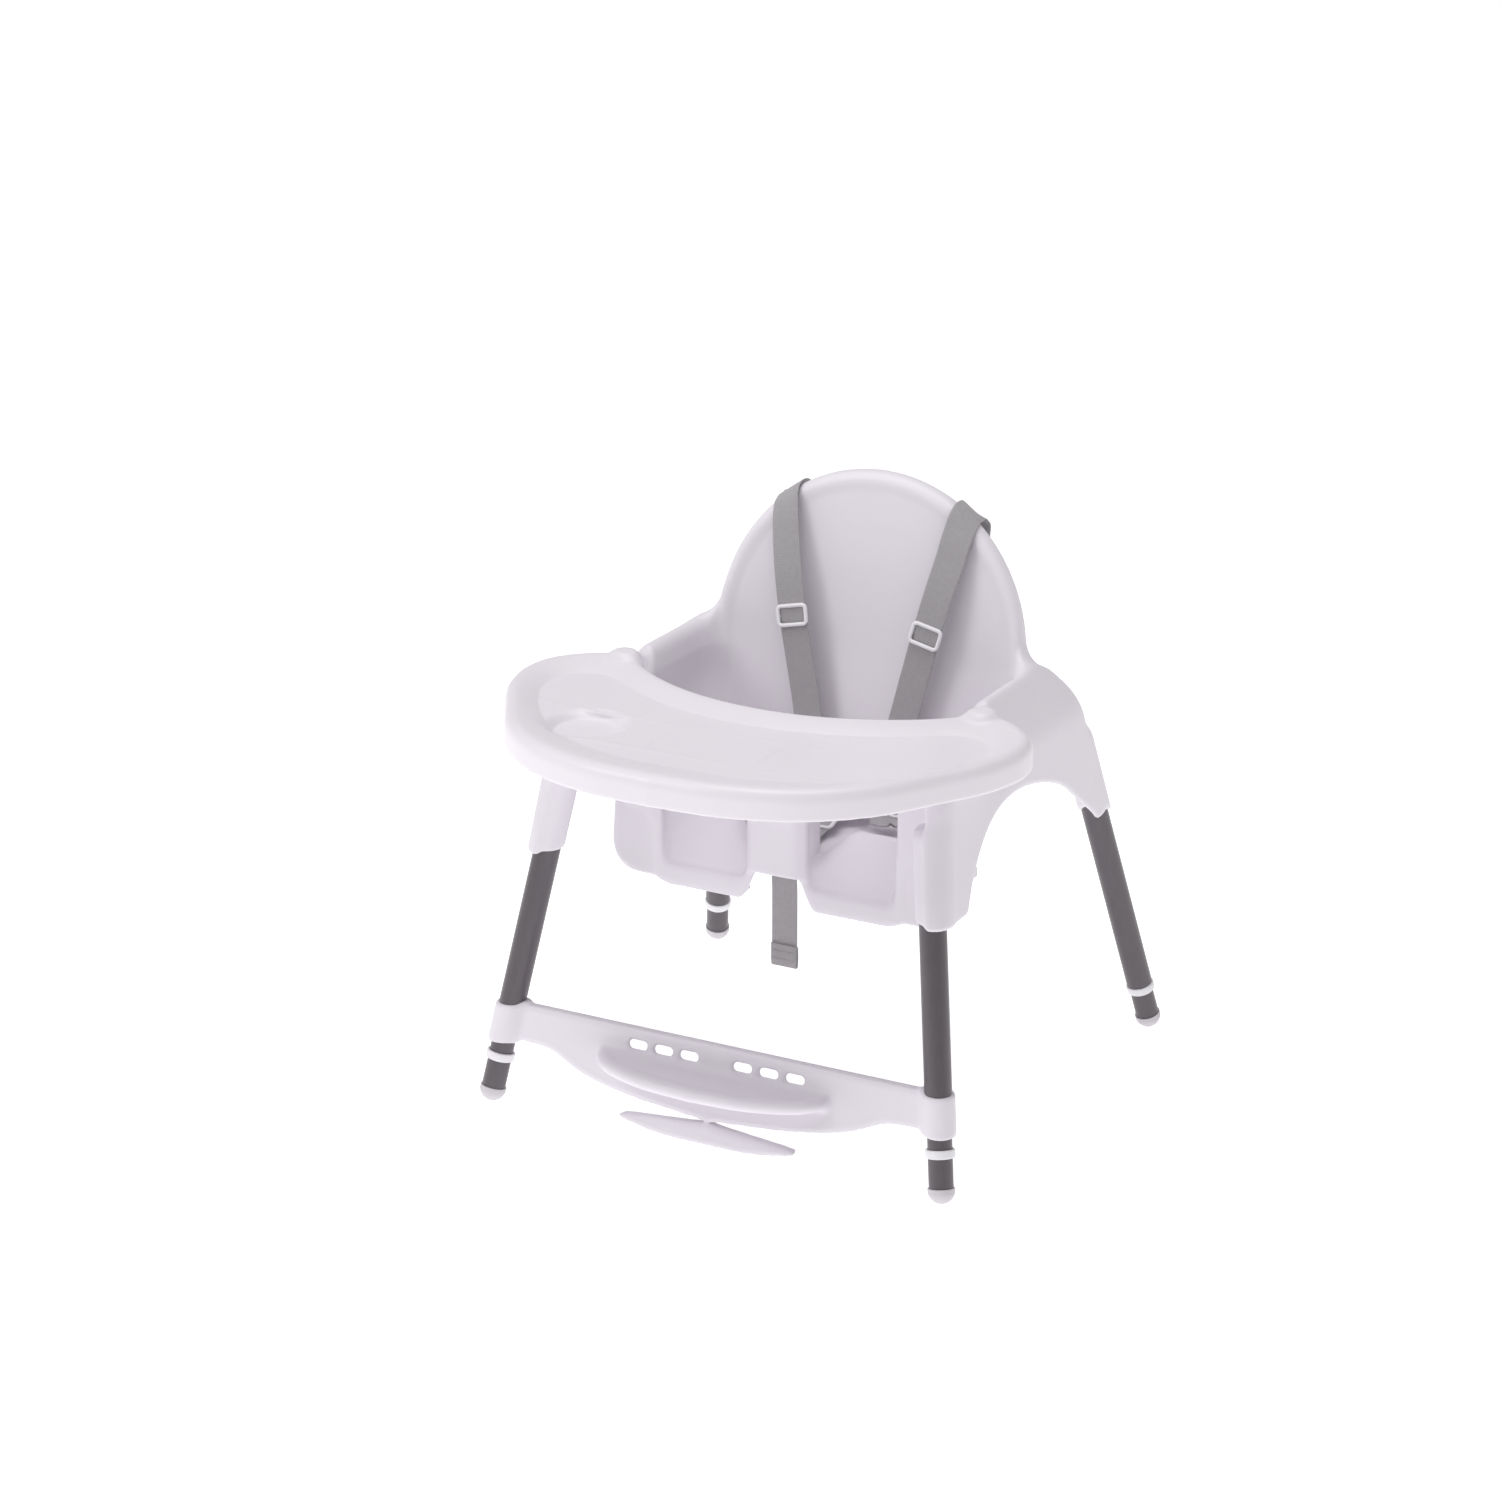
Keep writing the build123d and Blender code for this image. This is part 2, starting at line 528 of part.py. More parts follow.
def rest_outline():
    """Front view: straight top, and a lower edge that swoops down to a deep belly."""
    x_end = 246
    lower = Spline((-x_end, 70), (-196, 70), (-160, 54), (-127, 33), (-100, 20), (-55, 13), (0, REST_BELLY_Z),
                   (55, 13), (100, 20), (127, 33), (160, 54), (196, 70), (x_end, 70))
    return lower + Polyline((x_end, 70), (x_end - 4, REST_TOP_Z), (-x_end + 4, REST_TOP_Z), (-x_end, 70))


def rest_face_y(z):
    """Middle of the footrest plate at height z: it lies in the plane of the two front legs."""
    return FRONT_FOOT.Y + FRONT_LEAN.Y * z


def make_footrest():
    low, high = 0, 120
    leaf = [(rest_face_y(low) - 18, low), (rest_face_y(60) - 12, 60), (rest_face_y(high) - 2, high)]
    plate = yz_sheet(leaf, -255, 255, REST_THICKNESS) & xz_prism(rest_outline(), -260, -140)
    rear_y = rest_face_y(SHELF_Z) - 4
    shelf_arc = Spline((-SHELF_HALF_WIDTH, rear_y), (-118, rear_y - 32), (-70, rear_y - 54),
                       (0, rear_y - SHELF_DEPTH), (70, rear_y - 54), (118, rear_y - 32),
                       (SHELF_HALF_WIDTH, rear_y))
    shelf = make_face(shelf_arc + Line((SHELF_HALF_WIDTH, rear_y), (-SHELF_HALF_WIDTH, rear_y)))
    shelf = lift(shelf, SHELF_Z - SHELF_THICKNESS, SHELF_Z)
    shelf = fillet(shelf.edges().filter_by(Plane.XY).group_by(Axis.Y)[0], 5)
    rest = plate + shelf
    for side in (-1, 1):
        for centre in OVAL_CENTRES:
            hole = Plane.XZ.offset(300) * Pos(side * centre, OVAL_Z)
            rest -= extrude(hole * SlotOverall(*OVAL_SIZE), 160, dir=(0, 1, 0))
    for side in (-1, 1):
        rest += leg_rod(FRONT_FOOT, FRONT_LEAN, REST_SLEEVE_Z, REST_TOP_Z + 0.7, REST_SLEEVE_R, side)
    lower_r = UPPER_TUBE_R - TUBE_WALL
    for side in (-1, 1):
        rest -= leg_rod(FRONT_FOOT, FRONT_LEAN, REST_SLEEVE_Z - 30, REST_TOP_Z + 30, lower_r, side)
        rest -= leg_rod(FRONT_FOOT, FRONT_LEAN, UPPER_TUBE_FRONT_Z, REST_TOP_Z + 30,
                        UPPER_TUBE_R + FIT_GAP, side)
        rest -= rod_along(rest_screw_plane(side), 0, SOCKET_R + 5, SCREW_R + FIT_GAP * 2)
    return rest


# Harness

def web_run(start, end, across):
    """Flat stretch of webbing between two points; across is its width direction."""
    start, end = Vector(*start), Vector(*end)
    along = (end - start).normalized()
    width = (Vector(*across) - along * along.dot(Vector(*across))).normalized()
    plane = Plane((start + end) / 2, x_dir=along, z_dir=along.cross(width))
    return plane * Box((end - start).length, WEB_WIDTH, WEB_THICKNESS)


def chain(points, across):
    """Webbing along a list of points, with a small lap at each corner."""
    runs = [web_run(a, b, across) for a, b in zip(points, points[1:])]
    solid = runs[0]
    for run in runs[1:]:
        solid += run
    for point in points[1:-1]:
        solid += Pos(*point) * Rot(0, 90, 0) * Cylinder(WEB_THICKNESS / 2, WEB_WIDTH)
    return solid


def shoulder_points():
    top = SHOULDER_TOP

    def at(z, y):
        return (top.X - (top.Z - z) * SHOULDER_LEAN, y, z)

    return [at(304, 112), at(384, 121.5), at(468, 129), at(576, 152), at(604, 160), at(608, 166),
            (top.X, 188, 608), (top.X, 192, 600), (top.X, 178, 470),
            (WAIST_SLOT[0], back_y(WAIST_SLOT[1]) + 14, WAIST_SLOT[1])]


def waist_points():
    x, z = WAIST_SLOT
    return [(x, back_y(z) + 14, z), (x, back_y(z) - 30, z), (*WAIST_FOLD, z)]


def make_side_strap():
    """Shoulder run over the back's rim, down the rear, through the waist slot and forward."""
    strap = chain(shoulder_points(), (1, 0, 0)) + chain(waist_points(), (1, 0, 0))
    return strap + web_run((*WAIST_FOLD, WAIST_SLOT[1]), (TONGUE_X + 4, 82, 292), (1, 0.9, 0))


def make_crotch_strap():
    y = CROTCH_SLOT_Y
    points = [(0, y, 143), (0, y, SEAT_Z + 4), (0, 31, 274), (0, BUCKLE.Y - BUCKLE_SIZE[1] / 2 - 0.4, 284)]
    return chain(points, (1, 0, 0))


def make_glide(origin, along, across):
    """Three-bar slide: a rounded frame with a middle bar, lying on the webbing."""
    plane = Plane(Vector(*origin), x_dir=Vector(*along).normalized(),
                  z_dir=Vector(*along).cross(Vector(*across)).normalized())
    plane = plane.offset(WEB_THICKNESS / 2 + GLIDE_GAP)
    face = RectangleRounded(27, 35, 4) - Pos(-6, 0) * RectangleRounded(7, 29, 2)
    face -= Pos(6, 0) * RectangleRounded(7, 29, 2)
    return extrude(plane * face, 2.4)


def make_glides():
    """Slides on the shoulder, waist and crotch straps; the left ones are mirrored to the right."""
    points = shoulder_points()
    low, top = Vector(*points[2]), Vector(*points[3])
    shoulder = make_glide(low + (top - low) * 0.16, tuple(top - low), (1, 0, 0))
    waist = make_glide((WAIST_FOLD[0] + 1.5, WAIST_FOLD[1] + 30, WAIST_SLOT[1]), (0, 1, 0), (-1, 0, 0))
    low, top = Vector(0, 31, 274), Vector(0, BUCKLE.Y - BUCKLE_SIZE[1] / 2, 284)
    crotch = make_glide(low + (top - low) * 0.42, tuple(top - low), (-1, 0, 0))
    return {"shoulder_slide_left": shoulder, "shoulder_slide_right": mirror(shoulder, Plane.YZ),
            "waist_slide_left": waist, "waist_slide_right": mirror(waist, Plane.YZ),
            "crotch_slide": crotch}


def make_buckle():
    """Buckle body with a round well for the button and a pocket each side for a tongue."""
    width, depth, height = BUCKLE_SIZE
    body = Pos(*BUCKLE) * Box(width, depth, height)
    body = fillet(body.edges().filter_by(Axis.Z), 10)
    body = fillet(body.edges().group_by(Axis.Z)[-1], 3)
    well = Pos(BUCKLE.X, BUCKLE.Y, BUCKLE.Z + height / 2) * Cylinder(BUTTON_R + 0.2, 2 * 7.0)
    body -= well
    pocket = block(14, width, BUCKLE.Y - 9, BUCKLE.Y + 9, BUCKLE.Z - 5.6, BUCKLE.Z - 2.4)
    return body - both_sides(pocket)


def make_buckle_button():
    top = BUCKLE.Z + BUCKLE_SIZE[2] / 2 + 1.6
    button = Pos(BUCKLE.X, BUCKLE.Y, top - 2.6) * Cylinder(BUTTON_R, 5.2)
    return fillet(button.edges().group_by(Axis.Z)[-1], 1.5)


def make_tongue():
    """Plastic tongue: a blade in the buckle and a slotted end for the webbing."""
    z = BUCKLE.Z - 4
    half = BUCKLE_SIZE[0] / 2
    blade = block(15, half + 6, BUCKLE.Y - 8, BUCKLE.Y + 8, z - 1.4, z + 1.4)
    end = block(half + 0.5, half + 20, BUCKLE.Y - 18, BUCKLE.Y + 30, z - 1.6, z + 1.6)
    end = fillet(end.edges().filter_by(Axis.Z), 4)
    end -= block(half + 9, half + 14, BUCKLE.Y - 13, BUCKLE.Y + 25, z - 5, z + 5)
    return blade + end


def both_hands(parts, name, left):
    """Adds a piece and its mirror image. Left is the seated child's left, +X."""
    parts[name + "_left"] = left
    parts[name + "_right"] = mirror(left, Plane.YZ)


def all_parts():
    parts = {"seat_shell": make_seat_shell(), "tray": make_tray(), "footrest": make_footrest()}
    for name, side in (("left", 1), ("right", -1)):
        for end, front in (("front", True), ("rear", False)):
            upper, lower, ring, cap, (button, leaf) = make_leg(front, side)
            leg = end + "_" + name
            parts["leg_tube_" + leg] = upper
            parts["foot_tube_" + leg] = lower
            parts["leg_ring_" + leg] = ring
            parts["foot_cap_" + leg] = cap
            parts["snap_button_" + leg] = button
            parts["snap_spring_" + leg] = leaf
    both_hands(parts, "tray_catch", make_catch())
    both_hands(parts, "harness_strap", make_side_strap())
    both_hands(parts, "buckle_tongue", make_tongue())
    parts["crotch_strap"] = make_crotch_strap()
    parts.update(make_glides())
    parts["buckle_body"] = make_buckle()
    parts["buckle_button"] = make_buckle_button()
    parts["socket_screws"] = make_socket_screws()
    parts["footrest_screws"] = make_rest_screws()
    return parts


if __name__ == "__main__":
    os.makedirs("parts", exist_ok=True)
    for node, solid in all_parts().items():
        export_step(solid, os.path.join("parts", node + ".step"))
        print(node, round(solid.volume))
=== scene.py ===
import math
import bpy
import numpy as np
from mathutils import Matrix, Vector


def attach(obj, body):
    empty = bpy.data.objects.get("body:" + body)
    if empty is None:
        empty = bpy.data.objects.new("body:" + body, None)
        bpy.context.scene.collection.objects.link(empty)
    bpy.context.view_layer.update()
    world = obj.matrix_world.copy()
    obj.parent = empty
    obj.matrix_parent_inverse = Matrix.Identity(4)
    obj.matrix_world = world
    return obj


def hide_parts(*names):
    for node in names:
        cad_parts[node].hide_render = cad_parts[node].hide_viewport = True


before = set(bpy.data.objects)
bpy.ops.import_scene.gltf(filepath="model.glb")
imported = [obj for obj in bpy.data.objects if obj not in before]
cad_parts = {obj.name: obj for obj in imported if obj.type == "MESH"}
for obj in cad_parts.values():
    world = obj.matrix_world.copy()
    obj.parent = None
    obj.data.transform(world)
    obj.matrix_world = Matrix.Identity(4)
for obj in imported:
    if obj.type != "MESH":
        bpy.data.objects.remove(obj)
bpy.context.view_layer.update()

# Looks of a baby high chair. The shapes are worked out in millimetres and written to meshes in metres.
# +Z is up, the chair faces -Y, and x = 0 is its plane of symmetry.
MM = 0.001
CELL = 2.4
FINE_CELL = 1.9

# Legs: where each axis meets the floor, and its lean for each mm of height.
LEGS = {"front": ((263.4, -200.4), (-0.153, 0.206)), "rear": ((272.0, 312.3), (-0.166, -0.266))}
SIDES = {"left": 1, "right": -1}
SOCKET_R = 17.0
SOCKET_LOW = 273.0
REAR_SOCKET_LOW = 267.0
SOCKET_TOP = 366.0

# Seat moulding.
WALL = 5.0
DECK = 424.0
ARM_RISE = 27.0
SKIRT_LOW = 270.0
FLOOR = 266.0
APRON_Y = -54.5
APRON_LOW = 222.0
APRON_TOP = 404.0
LIP_TOP = 240.0
CREST_Y = -24.5
CREST_Z = 306.0
BACK_Z = 447.0
BACK_R = 180.0
RIM_DEPTH = 19.0
POST_HALF = 33.0
POST_Y = -65.5
FLANGE_X = 138.0
LEG_OPENING_X = (POST_HALF + FLANGE_X) / 2
LEG_OPENING_HALF = (FLANGE_X - POST_HALF) / 2
NOTCH_TOP = 252.0
STRAP_X = 104.0
WAIST_SLOT_Z = 300.0
DECK_SLOT_Y = 169.0
CROTCH_SLOT_Y = -36.5

# Tray.
TRAY_RIM = 445.0
TRAY_FLOOR = 434.0
TRAY_LOW = 412.0
TRAY_WALL = 4.0
CUP = (-147.0, -187.5)
CUP_R = 34.0
CUP_DEPTH = 8.0
LUG = (207.0, -6.0)

# Footrest.
REST_TOP = 107.0
SLEEVE_LOW = 67.0
REST_WALL = 5.5
SHELF_Z = 84.0
SHELF_THICK = 14.0
OVALS = (31.0, 61.0, 91.0)
OVAL_Z = 92.0

# Harness.
WEB_WIDTH = 30.0
SHOULDER_WIDTH = 33.0
WEB_THICK = 1.7
BUCKLE = (0.0, 88.0, 290.0)

# Half the width of the studio floor.
STUDIO_HALF = 40000


# ---------------------------------------------------------------- distance fields

def soft_min(a, b, r):
    """Union of two fields with a fillet of about r."""
    h = np.clip(0.5 + 0.5 * (b - a) / r, 0, 1)
    return b + (a - b) * h - r * h * (1 - h)


def soft_max(a, b, r):
    """Intersection of two fields with a rounded edge of about r."""
    return -soft_min(-a, -b, r)


def carve(field, hole, r):
    return soft_max(field, -hole, r)


def shell(field, wall):
    return np.maximum(field, -(field + wall))


def ramp(t):
    """0 below t = 0, 1 above t = 1, and smooth between."""
    t = np.clip(t, 0, 1)
    return t * t * (3 - 2 * t)


def most(*fields):
    out = fields[0]
    for field in fields[1:]:
        out = np.maximum(out, field)
    return out


def curve(points, per_span=14):
    """Smooth line through the points."""
    p = np.array(points, float)
    t = np.r_[0, np.cumsum(np.linalg.norm(np.diff(p, axis=0), axis=1))]
    slope = np.gradient(p, t, axis=0)
    out = []
    for i in range(len(p) - 1):
        s = np.linspace(0, 1, per_span, endpoint=False)[:, None]
        h = t[i + 1] - t[i]
        out.append((2 * s ** 3 - 3 * s ** 2 + 1) * p[i] + (s ** 3 - 2 * s ** 2 + s) * h * slope[i]
                   + (3 * s ** 2 - 2 * s ** 3) * p[i + 1] + (s ** 3 - s ** 2) * h * slope[i + 1])
    out.append(p[-1:])
    return np.concatenate(out)


def mirrored(half):
    """Both halves of an outline whose first point is on the plane of symmetry."""
    half = [tuple(p) for p in half]
    return [(-u, v) for u, v in reversed(half[1:])] + half


class Outline:
    """Signed distance to a closed line in a plane, from a fine table; negative inside."""

    def __init__(self, line, cell=1.5, margin=24.0):
        line = np.array(line, float)
        self.low = line.min(0) - margin
        self.cell = cell
        size = np.ceil((line.max(0) + margin - self.low) / cell).astype(int) + 1
        u = self.low[0] + cell * np.arange(size[0])[:, None]
        v = self.low[1] + cell * np.arange(size[1])[None, :]
        best = np.full(size, 1e9)
        inside = np.zeros(size, bool)
        for a, b in zip(line, np.roll(line, -1, axis=0)):
            d = b - a
            length = d @ d
            if length < 1e-12:
                continue
            t = np.clip(((u - a[0]) * d[0] + (v - a[1]) * d[1]) / length, 0, 1)
            best = np.minimum(best, (u - a[0] - t * d[0]) ** 2 + (v - a[1] - t * d[1]) ** 2)
            if a[1] != b[1]:
                across = ((a[1] > v) != (b[1] > v)) & (u < d[0] * (v - a[1]) / d[1] + a[0])
                inside ^= across
        self.table = np.where(inside, -1, 1) * np.sqrt(best)

    def __call__(self, u, v):
        fu = (u - self.low[0]) / self.cell
        fv = (v - self.low[1]) / self.cell
        fu, fv = np.broadcast_arrays(fu, fv)
        last = np.array(self.table.shape) - 1.001
        cu = np.clip(fu, 0, last[0])
        cv = np.clip(fv, 0, last[1])
        i = cu.astype(int)
        j = cv.astype(int)
        s = cu - i
        t = cv - j
        near = (self.table[i, j] * (1 - s) + self.table[i + 1, j] * s) * (1 - t) \
            + (self.table[i, j + 1] * (1 - s) + self.table[i + 1, j + 1] * s) * t
        return near + self.cell * np.hypot(fu - cu, fv - cv)


def surface(field, low, high, cell, symmetric):
    """Quad mesh of field = 0 between two corners: one point for each grid cell that it crosses."""
    low = np.array(low, float)
    high = np.array(high, float)
    axes = [np.arange(low[i], high[i] + cell, cell) for i in range(3)]
    if symmetric:
        axes[0] = np.arange(0, high[0] + cell, cell)
    value = field(axes[0][:, None, None], axes[1][None, :, None], axes[2][None, None, :])
    value = np.ascontiguousarray(np.broadcast_to(value, [len(a) for a in axes]), dtype=np.float32)
    if symmetric:
        value = np.concatenate([value[:0:-1], value])
        low[0] = -axes[0][-1]
    inside = value < 0
    size = [n - 1 for n in value.shape]
    count = np.zeros(size, np.int8)
    for i in (0, 1):
        for j in (0, 1):
            for k in (0, 1):
                count += inside[i:i + size[0], j:j + size[1], k:k + size[2]]
    cells = np.argwhere((count > 0) & (count < 8))
    index = np.full(size, -1, np.int64)
    index[tuple(cells.T)] = np.arange(len(cells))
    total = np.zeros((len(cells), 3))
    hits = np.zeros(len(cells))
    for axis in range(3):
        rest = [a for a in range(3) if a != axis]
        for shift in ((0, 0), (0, 1), (1, 0), (1, 1)):
            start = cells.copy()
            start[:, rest[0]] += shift[0]
            start[:, rest[1]] += shift[1]
            end = start.copy()
            end[:, axis] += 1
            a = value[tuple(start.T)].astype(float)
            b = value[tuple(end.T)].astype(float)
            cross = (a < 0) != (b < 0)
            point = start[cross].astype(float)
            point[:, axis] += a[cross] / (a[cross] - b[cross])
            total[cross] += point
            hits[cross] += 1
    verts = low + cell * total / hits[:, None]
    quads = []
    for axis in range(3):
        first = [slice(None)] * 3
        second = [slice(None)] * 3
        first[axis] = slice(0, -1)
        second[axis] = slice(1, None)
        change = inside[tuple(first)] != inside[tuple(second)]
        edge = np.argwhere(change)
        b, c = [(1, 2), (2, 0), (0, 1)][axis]
        edge = edge[(edge[:, b] > 0) & (edge[:, c] > 0) & (edge[:, b] < size[b]) & (edge[:, c] < size[c])]
        ring = []
        for db, dc in ((-1, -1), (0, -1), (0, 0), (-1, 0)):
            at = edge.copy()
            at[:, b] += db
            at[:, c] += dc
            ring.append(index[tuple(at.T)])
        ring = np.stack(ring, 1)
        leaving = inside[tuple(edge.T)]
        quads.append(np.where(leaving[:, None], ring, ring[:, ::-1]))
    return verts, np.concatenate(quads)


def gradient(field, v, h=0.5):
    """Value and slope of the field at each point."""
    here = field(v[:, 0], v[:, 1], v[:, 2])
    slope = np.empty_like(v)
    for axis in range(3):
        moved = v.copy()
        moved[:, axis] += h
        slope[:, axis] = (field(moved[:, 0], moved[:, 1], moved[:, 2]) - here) / h
    return here, slope


def settle(field, verts, quads, cell, rounds):
    """Evens out the mesh along the surface and pulls each point onto it."""
    a = quads.ravel()
    b = np.roll(quads, -1, axis=1).ravel()
    start = np.concatenate([a, b])
    end = np.concatenate([b, a])
    degree = np.bincount(start, minlength=len(verts))
    for turn in range(rounds):
        if turn:
            middle = np.stack([np.bincount(start, verts[end, i], len(verts)) for i in range(3)], 1)
            verts = verts + 0.5 * (middle / degree[:, None] - verts)
        for _ in range(2):
            here, slope = gradient(field, verts)
            steep = np.maximum((slope ** 2).sum(1), 0.25)
            step = slope * (here / steep)[:, None]
            length = np.linalg.norm(step, axis=1)
            step *= np.minimum(1, 0.5 * cell / np.maximum(length, 1e-9))[:, None]
            verts = verts - step
    return verts


# ---------------------------------------------------------------- meshes

def new_object(name, verts, faces, smooth=True):
    mesh = bpy.data.meshes.new(name)
    mesh.from_pydata((np.array(verts, float) * MM).tolist(), [], [list(f) for f in faces])
    mesh.validate()
    mesh.polygons.foreach_set("use_smooth", [smooth] * len(mesh.polygons))
    mesh.update()
    obj = bpy.data.objects.new(name, mesh)
    bpy.context.scene.collection.objects.link(obj)
    return obj


def moulded(name, field, low, high, cell, symmetric):
    verts, quads = surface(field, low, high, cell, symmetric)
    verts = settle(field, verts, quads, cell, 3)
    return new_object(name, verts, quads.tolist())


def leg_point(end, side, z):
    (x, y), (lean_x, lean_y) = LEGS[end]
    return Vector((side * (x + lean_x * z), y + lean_y * z, z))


def leg_frame(end, side, z):
    """Matrix at height z of a leg, whose local z runs up the leg."""
    up = (leg_point(end, side, 1) - leg_point(end, side, 0)).normalized()
    turn = up.to_track_quat("Z", "Y").to_matrix().to_4x4()
    return Matrix.Translation(leg_point(end, side, z)) @ turn


def lathe(name, profile, matrix, segments=64):
    """Solid of revolution about the matrix's local z, from closed (radius, height) points."""
    verts = []
    faces = []
    rows = len(profile)
    for k in range(segments):
        angle = 2 * math.pi * k / segments
        for radius, height in profile:
            verts.append(matrix @ Vector((radius * math.cos(angle), radius * math.sin(angle), height)))
    for k in range(segments):
        nxt = (k + 1) % segments
        for i in range(rows):
            j = (i + 1) % rows
            faces.append((k * rows + i, nxt * rows + i, nxt * rows + j, k * rows + j))
    return new_object(name, verts, faces)


def put_material(obj, material):
    obj.data.materials.clear()
    obj.data.materials.append(material)


def finish_piece(obj, material, body, slot, *nodes):
    put_material(obj, material)
    if nodes:
        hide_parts(*nodes)
    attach(obj, body)
    return obj


# ---------------------------------------------------------------- seat shell

ARCH = Outline(np.concatenate([
    curve([(-108, 262), (-103, 272), (-88, 298), (-72.5, 317), (-45, 340), (-17.5, 352), (26, 357),
           (63, 352.6), (101, 342.7), (140, 325), (161.5, 308), (181, 293), (200, 278), (213, 262)]),
    [(216, 200), (-108, 200)]]))
REAR_ARCH = Outline(np.concatenate([
    mirrored(curve([(0, 362), (60, 358), (110, 346), (150, 327), (178, 305), (198, 284), (212, 262)])),
    [(216, 200), (-216, 200)]]))


def back_surface(x, z):
    """y of the front of the back: leans rearward, a little hollow across, its rim standing proud."""
    u = z - 264
    y = 124 + 0.165 * u - 0.00012 * u * u - 8 * (x / 190) ** 2
    return y + 2.6 * ramp((-back_disc(x, z) - 7) / 15)


def back_disc(x, z):
    """Front view of the back: a half disc on straight sides."""
    return np.where(z > BACK_Z, np.hypot(x, z - BACK_Z), np.abs(x)) - BACK_R


def arm_top(ax, y):
    rise = ARM_RISE * ramp((y + 2) / 26) * (1 - ramp((y - 138) / 92)) * ramp((ax - 166) / 14)
    return DECK + rise * (1 - ramp((ax - 196) / 34))


def envelope(ax, y, z):
    """Outer shape of the arms, sides and rear, as a solid with no floor."""
    drop = DECK - z
    side = ax - 226 - drop * (17 + 6 * np.clip((y + 150) / 400, 0, 1)) / 162
    out = soft_max(side, (z - arm_top(ax, y)) * 0.95, 36)
    out = soft_max(out, (y - 219 - drop * 0.265) * 0.967, 46)
    return soft_max(out, (-133 - drop * 0.204 - y) * 0.98, 28)


def child_space(ax, y, z, behind):
    """Room inside the tub, with the two channels for the legs."""
    sides = ax - 181 - np.where(z > DECK, 0.2 * (z - DECK), (DECK - z) * 0.0726)
    sides = sides + 36 * ramp((y - 15) / 115) * ramp((400 - z) / 100)
    crest = FLOOR + (CREST_Z - FLOOR) * ramp((ax - 26) / 56)
    fall = ramp((y - CREST_Y) / 42)
    floor = (crest - (crest - FLOOR) * fall - z) * 0.8
    space = soft_max(sides, floor, 45)
    space = soft_max(space, behind, 40)
    space = soft_max(space, APRON_Y + WALL - y, 8)
    slope = ((y - APRON_Y - WALL) * (CREST_Z - LIP_TOP) - (z - LIP_TOP) * (CREST_Y - APRON_Y - WALL))
    slope = slope / math.hypot(CREST_Z - LIP_TOP, CREST_Y - APRON_Y - WALL)
    channel = soft_max(np.abs(ax - LEG_OPENING_X) - LEG_OPENING_HALF, slope, 16)
    channel = np.maximum(channel, y - 10)
    return soft_min(space, channel, 16)


def apron_frame(ax, y, z):
    """Front of the tub: the lip, the flanges and the low ends of the side walls."""
    sides = ax - 186 - (DECK - z) * 0.0726
    tub = soft_max(soft_max(sides, APRON_LOW - z, 41), APRON_Y - y, 7)
    out = shell(tub, WALL)
    rising = APRON_LOW + np.clip(y + 40, 0, 40)
    out = soft_max(out, rising - z, 4)
    out = most(out, y - 12, z - APRON_TOP)
    opening = soft_max(np.abs(ax - LEG_OPENING_X) - LEG_OPENING_HALF, LIP_TOP - z, 16)
    return carve(out, np.maximum(opening, y + 40), 5)


def post(ax, y, z):
    """Hollow post between the child's legs."""
    block = soft_max(ax - POST_HALF, POST_Y - y, 17)
    block = soft_max(block, z - APRON_TOP, 6)
    block = np.maximum(block, y + 20)
    return soft_max(shell(block, WALL), NOTCH_TOP - z, 4)


def leg_distance(end, ax, y, z):
    (x0, y0), (lean_x, lean_y) = LEGS[end]
    dx = ax - x0 - lean_x * z
    dy = y - y0 - lean_y * z
    along = (lean_x * dx + lean_y * dy) / (1 + lean_x ** 2 + lean_y ** 2)
    return np.sqrt(np.maximum(dx * dx + dy * dy - along * (lean_x * dx + lean_y * dy), 0)), dx, dy


